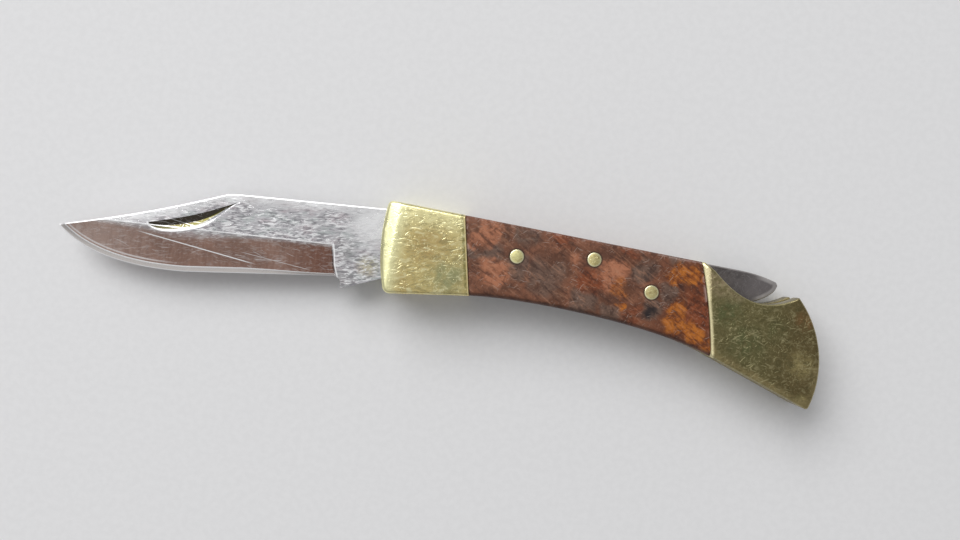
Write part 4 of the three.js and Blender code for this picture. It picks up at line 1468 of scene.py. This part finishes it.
class KNIFE_OT_lock_spring(bpy.types.Operator):
    """Make the leaf spring under the tail of the lock bar"""

    bl_idname = "knife.lock_spring"
    bl_label = "Lock Spring"

    def execute(self, context):
        mesh = traced_plate("lock_spring", "blade", 0.06 * MM)
        piece = bpy.data.objects.new("lock_spring", mesh)
        context.scene.collection.objects.link(piece)
        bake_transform(piece)
        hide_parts("lock_spring")
        dress(piece, "lock_steel")
        return {"FINISHED"}


BLADE_SPACING = 0.3 * MM
EDGE_HALF = 0.015 * MM
BREAK_SLOPE = 0.4
BELLY_DROP = 0.04
KICK_SLANT = 0.3 * MM
KICK_CORNER = 0.15 * MM
PIVOT_CLEAR = 1.7 * MM

# Heights on the blade, and how far from the pivot the hollow grind ends there
PLUNGE_HEIGHTS = np.array([-6.0, -3.6, -1.9, -0.2, 1.6, 3.8]) * MM
PLUNGE_PLACES = np.array([-13.9, -14.6, -15.2, -15.4, -15.7, -16.5]) * MM
PLUNGE_WIDTH = 0.45 * MM

# The bevel narrows by this share over this length before the heel
HEEL_LOSS = 0.6
HEEL_TAPER = 17 * MM


class BladeLines:
    """The curves and grinds of the blade, in its own frame."""

    def __init__(self):
        self.sizes = bpy.context.scene.knife_blade
        b = self.sizes
        self.tip = point(-b.tip_reach, 0)
        clip_x = b.clip_length - b.tip_reach
        self.clip_start = point(clip_x, self.back(clip_x) - b.clip_drop)
        shoulder_x = clip_x + b.clip_shoulder
        self.shoulder = point(shoulder_x, self.back(shoulder_x))
        straight_x = b.belly_length - b.tip_reach
        self.straight = point(straight_x, self.edge(straight_x))
        self.heel = point(-b.heel_reach, self.edge(-b.heel_reach))

    def back(self, x):
        return self.sizes.back_height + self.sizes.back_taper * x

    def edge(self, x):
        return self.sizes.edge_slope * (x + self.sizes.heel_reach) - self.sizes.heel_depth

    def sharp_edge(self):
        """The cutting edge, from the tip to the heel."""
        b = self.sizes
        pull_end = self.straight - point(b.belly_pull, b.belly_pull * BELLY_DROP)
        belly = bend(self.tip, towards(self.tip, b.tip_pull, -b.tip_rise), pull_end, self.straight)
        return np.vstack([belly, self.heel])

    def choil(self):
        radius = self.sizes.choil_radius
        return arc(self.heel - point(0, radius), radius, math.pi / 2, 0, 12)

    def tang(self):
        """From the choil over the kick and round the cam to the top of the lock notch."""
        b = self.sizes
        choil_end = self.choil()[-1]
        kick = point(choil_end[0] + KICK_SLANT, -b.kick_depth)
        slope_end = point(-b.tang_end, kick[1] + b.tang_slope * (-b.tang_end - kick[0]))
        seat = b.cam_radius - b.notch_depth
        landing = math.pi / 2 - b.closing - b.lean
        half = math.acos(seat / b.cam_radius)
        wall = math.acos(b.hook_back / b.cam_radius) - b.lean
        landing_start = towards(point(0, 0), b.cam_radius, landing - half)
        cam = arc(point(0, 0), b.cam_radius, landing + half, wall, 30)
        floor = turned([point(b.hook_back, seat), point(-b.hook_front, seat)], -b.lean)
        front = [choil_end, point(choil_end[0], kick[1] + KICK_CORNER), kick, slope_end, landing_start]
        return np.vstack([*front, cam, floor, self.wall_top()])

    def wall_top(self):
        b = self.sizes
        s, c = math.sin(b.lean), math.cos(b.lean)
        x = -b.hook_front
        y = (b.back_height + x * (s + b.back_taper * c)) / (c - b.back_taper * s)
        return turned([point(x, y)], -b.lean)[0]

    def spine(self):
        """From the lock notch along the back and down the clip to the tip."""
        b = self.sizes
        pull_start = towards(self.clip_start, b.clip_start_pull, math.pi + b.clip_fall)
        pull_end = towards(self.tip, b.clip_tip_pull, b.clip_tip_rise)
        middle = point(self.clip_start[0] + b.clip_shoulder * 0.4, self.back(self.clip_start[0]))
        soft = corner(self.shoulder, middle, self.clip_start)
        clip = bend(self.clip_start, pull_start, pull_end, self.tip)
        return np.vstack([self.wall_top(), soft, clip[1:]])

    def plunge_x(self, y):
        """Where the hollow grind ends, at a height on the blade."""
        return np.interp(y, PLUNGE_HEIGHTS, PLUNGE_PLACES)

    def hollow_height(self, y, edge_gap, half):
        """Height of the ground surface over the middle plane."""
        b = self.sizes
        fall = np.maximum(b.grind_start - y, 0)
        t = fall / np.maximum(fall + edge_gap, TINY)
        return half + (b.edge_width / 2 - half) * t - 4 * b.grind_hollow * t * (1 - t)

    def bevel_width(self, x):
        """Width of the sharpened bevel, which narrows to the heel."""
        b = self.sizes
        return b.bevel_width * (1 - HEEL_LOSS * smoothstep((x + b.heel_reach + HEEL_TAPER) / HEEL_TAPER))


NICK_LEFT = (-47.6, 1.93)
NICK_RIGHT = (-32.1, 7.1)
NICK_UPPER_BOW = 0.48 * MM
NICK_LOWER_BOW = 2.85 * MM
NICK_FULL_WIDTH = 2.5 * MM


class NailNick:
    """Upper edge, floor line and lower edge of the nail nick, from left to right."""

    def __init__(self, steps=60):
        left, right = point(*NICK_LEFT) * MM, point(*NICK_RIGHT) * MM
        t = np.linspace(0, 1, steps + 1)
        swell = 4 * t * (1 - t)
        chord = left + (right - left) * t[:, None]
        fullness = 0.62 + 0.9 * smoothstep((t - 0.5) / 0.4)
        self.upper = chord - np.stack([0 * t, NICK_UPPER_BOW * swell**1.4], 1)
        self.lower = chord - np.stack([0 * t, NICK_LOWER_BOW * swell**fullness], 1)
        self.floor = self.upper + (self.lower - self.upper) * 0.5

    def heights(self, x):
        """Heights of the three lines at a place along the blade."""
        return [np.interp(x, line[:, 0], line[:, 1]) for line in (self.upper, self.floor, self.lower)]

    def depth(self, flat):
        x, y = flat[:, 0], flat[:, 1]
        top, bottom, foot = self.heights(x)
        within = (x > self.upper[0, 0]) & (x < self.upper[-1, 0]) & (y < top) & (y > foot)
        wall = (top - y) / np.maximum(top - bottom, TINY)
        slope = np.maximum((y - foot) / np.maximum(bottom - foot, TINY), 0) ** 0.85
        width = np.clip((top - foot) / NICK_FULL_WIDTH, 0, 1)
        deepest = bpy.context.scene.knife_blade.nick_depth
        return np.where(within, deepest * width * np.clip(np.minimum(wall, slope), 0, 1), 0)

    def rise(self, places):
        """From 0 at the lower edge to 1 at the upper one."""
        top, _, foot = self.heights(places[:, 0])
        return np.clip((places[:, 1] - foot) / np.maximum(top - foot, TINY), 0, 1)


def blade_net(lines, nick, sharp_edge, spine, plunge):
    """The triangles of the blade, with its grinds, its worn back and its nail nick as creases."""
    b = lines.sizes
    outline = joined([sharp_edge, lines.choil(), resampled(lines.tang(), BLADE_SPACING), spine])
    grind_x = (clip_crossing(spine, b.grind_start), lines.plunge_x(b.grind_start))
    creases = [
        resampled(np.array([point(x, b.grind_start) for x in grind_x]), BLADE_SPACING),
        plunge,
        plunge - point(PLUNGE_WIDTH, 0),
        offset(sharp_edge, lines.bevel_width(sharp_edge[:, 0])),
        offset(spine, np.full(len(spine), b.edge_break)),
        nick.upper,
        nick.floor[1:-1],
        nick.lower[1:-1],
    ]
    creases = [clipped(line, outline) for line in creases]
    rings = inner_rings(outline, [b.edge_break * 0.5, b.edge_break], BLADE_SPACING)
    field = grid_points(outline, 0.34 * MM, 0.3 * MM)
    points = clear_of(np.concatenate([rings, field]), creases, 0.1 * MM)
    fine = grid_points(np.vstack([nick.upper, nick.lower[::-1]]), 0.16 * MM, 0.08 * MM)
    points = clear_of(np.concatenate([points, fine]), creases, 0.06 * MM)
    hole = circle(point(0, 0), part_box("blade_pivot_pin")[1].x + BORE_PLAY)
    points = points[np.hypot(points[:, 0], points[:, 1]) > PIVOT_CLEAR]
    return triangles_inside(outline, creases, points, [hole])


class KNIFE_OT_blade(bpy.types.Operator):
    """Make the clip point blade with its hollow grind, sharpened edge and nail nick"""

    bl_idname = "knife.blade"
    bl_label = "Blade"

    def execute(self, context):
        b = context.scene.knife_blade
        lines, nick = BladeLines(), NailNick()
        low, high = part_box("blade")
        half = (high.z - low.z) / 2
        sharp_edge = resampled(lines.sharp_edge(), BLADE_SPACING)
        spine = resampled(lines.spine(), BLADE_SPACING)
        plunge_y = np.linspace(b.grind_start, lines.heel[1], 16)
        plunge = np.stack([lines.plunge_x(plunge_y), plunge_y], 1)

        def bevel_mark(flat, upper):
            return distance_to(flat, sharp_edge) / lines.bevel_width(flat[:, 0])

        def face(flat, upper):
            hollow = lines.hollow_height(flat[:, 1], distance_to(flat, sharp_edge), half)
            ramp = smoothstep((lines.plunge_x(flat[:, 1]) - flat[:, 0]) / PLUNGE_WIDTH)
            ground = half - (half - hollow) * ramp
            height = EDGE_HALF + (ground - EDGE_HALF) * np.clip(bevel_mark(flat, upper), 0, 1)
            height -= np.clip(b.edge_break - distance_to(flat, spine), 0, b.edge_break) * BREAK_SLOPE
            if upper:
                height -= nick.depth(flat)
            return np.maximum(height, EDGE_HALF)

        def hollow_mark(flat, upper):
            """Where the hollow is painted brown as a reflection; its upper border is softest in the middle
            of the blade.
            """
            x, y = flat[:, 0], flat[:, 1]
            middle, reach = -41 * MM, 9 * MM
            fade = 1.1 * MM + 1.5 * MM * np.exp(-(((x - middle) / reach) ** 2))
            share = smoothstep((b.grind_start + 0.35 * MM - y) / fade)
            return share * (x < lines.plunge_x(y) - 0.2 * MM)

        def rim_mark(flat, upper):
            return (distance_to(flat, nick.lower) if upper else np.full(len(flat), FAR)) / MM

        marks = {
            "hollow": hollow_mark,
            "bevel": bevel_mark,
            "back": lambda flat, upper: distance_to(flat, spine) / MM,
            "rim": rim_mark,
            "grind": lambda flat, upper: (b.grind_start - flat[:, 1]) / MM,
            "plunge": lambda flat, upper: distance_to(flat, plunge) / MM,
        }
        net = blade_net(lines, nick, sharp_edge, spine, plunge)
        mesh = plate_mesh("blade", net, lambda p: face(p, True), lambda p: -face(p, False), marks)
        mark_faces(mesh, "nick", lambda at: (at[:, 2] > 0) & (nick.depth(at[:, :2]) > 0), nick.rise)
        co = coordinates(mesh).astype(float)
        co[:, :2] = turned(co[:, :2], b.lean)
        co[:, 2] += (high.z + low.z) / 2
        mesh.vertices.foreach_set("co", co.astype(np.float32).ravel())
        dress(added(mesh, "blade", "blade"), "blade_steel")
        return {"FINISHED"}


def clip_crossing(spine, height):
    """Where the clip comes down to a height."""
    clip = spine[spine[:, 0] < -40 * MM]
    order = np.argsort(clip[:, 1])
    return float(np.interp(height, clip[order, 1], clip[order, 0]))


def offset(line, gaps):
    """A line shifted to its left by its own distance at each point."""
    run = np.gradient(line, axis=0)
    run /= np.linalg.norm(run, axis=1)[:, None]
    return line + np.stack([-run[:, 1], run[:, 0]], 1) * gaps[:, None]


# Stage


FLOOR_REACH = 3.0
KNIFE_MIDDLE = Vector((0.01, 0.0, 0.0))
KEY_PLACE = Vector((-0.75, 0.82, 1.15))
KEY_SIZE = (1.3, 1.1)
BOX_PLACE = Vector((-0.36, 0.0, 0.9))
BOX_SIZE = (0.95, 1.3)
CAMERA_PLACE = (9.6 * MM, 0.8 * MM)
CAMERA_LENS = 38.6
SENSOR_WIDTH = 36


class KNIFE_OT_stage(bpy.types.Operator):
    """Make the floor, the lamps, the room and the camera"""

    bl_idname = "knife.stage"
    bl_label = "Stage"

    def execute(self, context):
        studio = context.scene.knife_studio
        scene = context.scene
        mesh = bpy.data.meshes.new("floor")
        corners = [(-1, -1), (1, -1), (1, 1), (-1, 1)]
        mesh.from_pydata([(FLOOR_REACH * x, FLOOR_REACH * y, 0) for x, y in corners], [], [(0, 1, 2, 3)])
        floor = bpy.data.objects.new("floor", mesh)
        scene.collection.objects.link(floor)
        mesh.materials.append(material_named("floor"))
        key = self.lamp(scene, "key_lamp", KEY_PLACE, KEY_SIZE, studio.key_power)
        key.rotation_euler = (KNIFE_MIDDLE - KEY_PLACE).to_track_quat("-Z", "Y").to_euler()
        self.lamp(scene, "soft_box", BOX_PLACE, BOX_SIZE, studio.box_power)
        world = bpy.data.worlds.new("room")
        world.use_nodes = True
        background = world.node_tree.nodes["Background"]
        background.inputs["Color"].default_value = (1.0, 1.0, 1.0, 1.0)
        background.inputs["Strength"].default_value = studio.world_level
        scene.world = world
        scene.view_settings.view_transform = "Standard"
        self.camera(scene, studio)
        return {"FINISHED"}

    def lamp(self, scene, name, place, size, power):
        data = bpy.data.lights.new(name, "AREA")
        data.shape = "RECTANGLE"
        data.size, data.size_y = size
        data.energy = power
        lamp = bpy.data.objects.new(name, data)
        lamp.location = place
        scene.collection.objects.link(lamp)
        return lamp

    def camera(self, scene, studio):
        data = bpy.data.cameras.new("camera")
        data.lens = CAMERA_LENS
        data.sensor_width = SENSOR_WIDTH
        data.clip_start = 10 * MM
        camera = bpy.data.objects.new("camera", data)
        camera.location = (*CAMERA_PLACE, studio.camera_height)
        camera.rotation_euler = (0, 0, studio.camera_turn)
        scene.collection.objects.link(camera)
        scene.camera = camera


class KNIFE_PT_panel(bpy.types.Panel):
    """Lists the steps that build the knife"""

    bl_idname = "KNIFE_PT_panel"
    bl_label = "Folding Pocket Knife"
    bl_space_type = "VIEW_3D"
    bl_region_type = "UI"
    bl_category = "Knife"

    def draw(self, context):
        for step in STEPS:
            self.layout.operator(step.bl_idname)


STEPS = (
    KNIFE_OT_blade,
    KNIFE_OT_front_bolsters,
    KNIFE_OT_rear_bolsters,
    KNIFE_OT_scales,
    KNIFE_OT_liners,
    KNIFE_OT_scale_pins,
    KNIFE_OT_hidden_pins,
    KNIFE_OT_lock_bar,
    KNIFE_OT_lock_spring,
    KNIFE_OT_butt_spacer,
    KNIFE_OT_stage,
)
SETTINGS = {
    "knife_handle": KnifeHandle,
    "knife_blade": KnifeBlade,
    "knife_finish": KnifeFinish,
    "knife_studio": KnifeStudio,
}
CLASSES = (*SETTINGS.values(), *STEPS, KNIFE_PT_panel)


def register():
    for made in CLASSES:
        bpy.utils.register_class(made)
    for name, settings in SETTINGS.items():
        setattr(bpy.types.Scene, name, bpy.props.PointerProperty(type=settings))


def unregister():
    for name in SETTINGS:
        delattr(bpy.types.Scene, name)
    for made in reversed(CLASSES):
        bpy.utils.unregister_class(made)


def main():
    register()
    for step in STEPS:
        family, name = step.bl_idname.split(".")
        getattr(getattr(bpy.ops, family), name)()


if __name__ == "__main__":
    main()
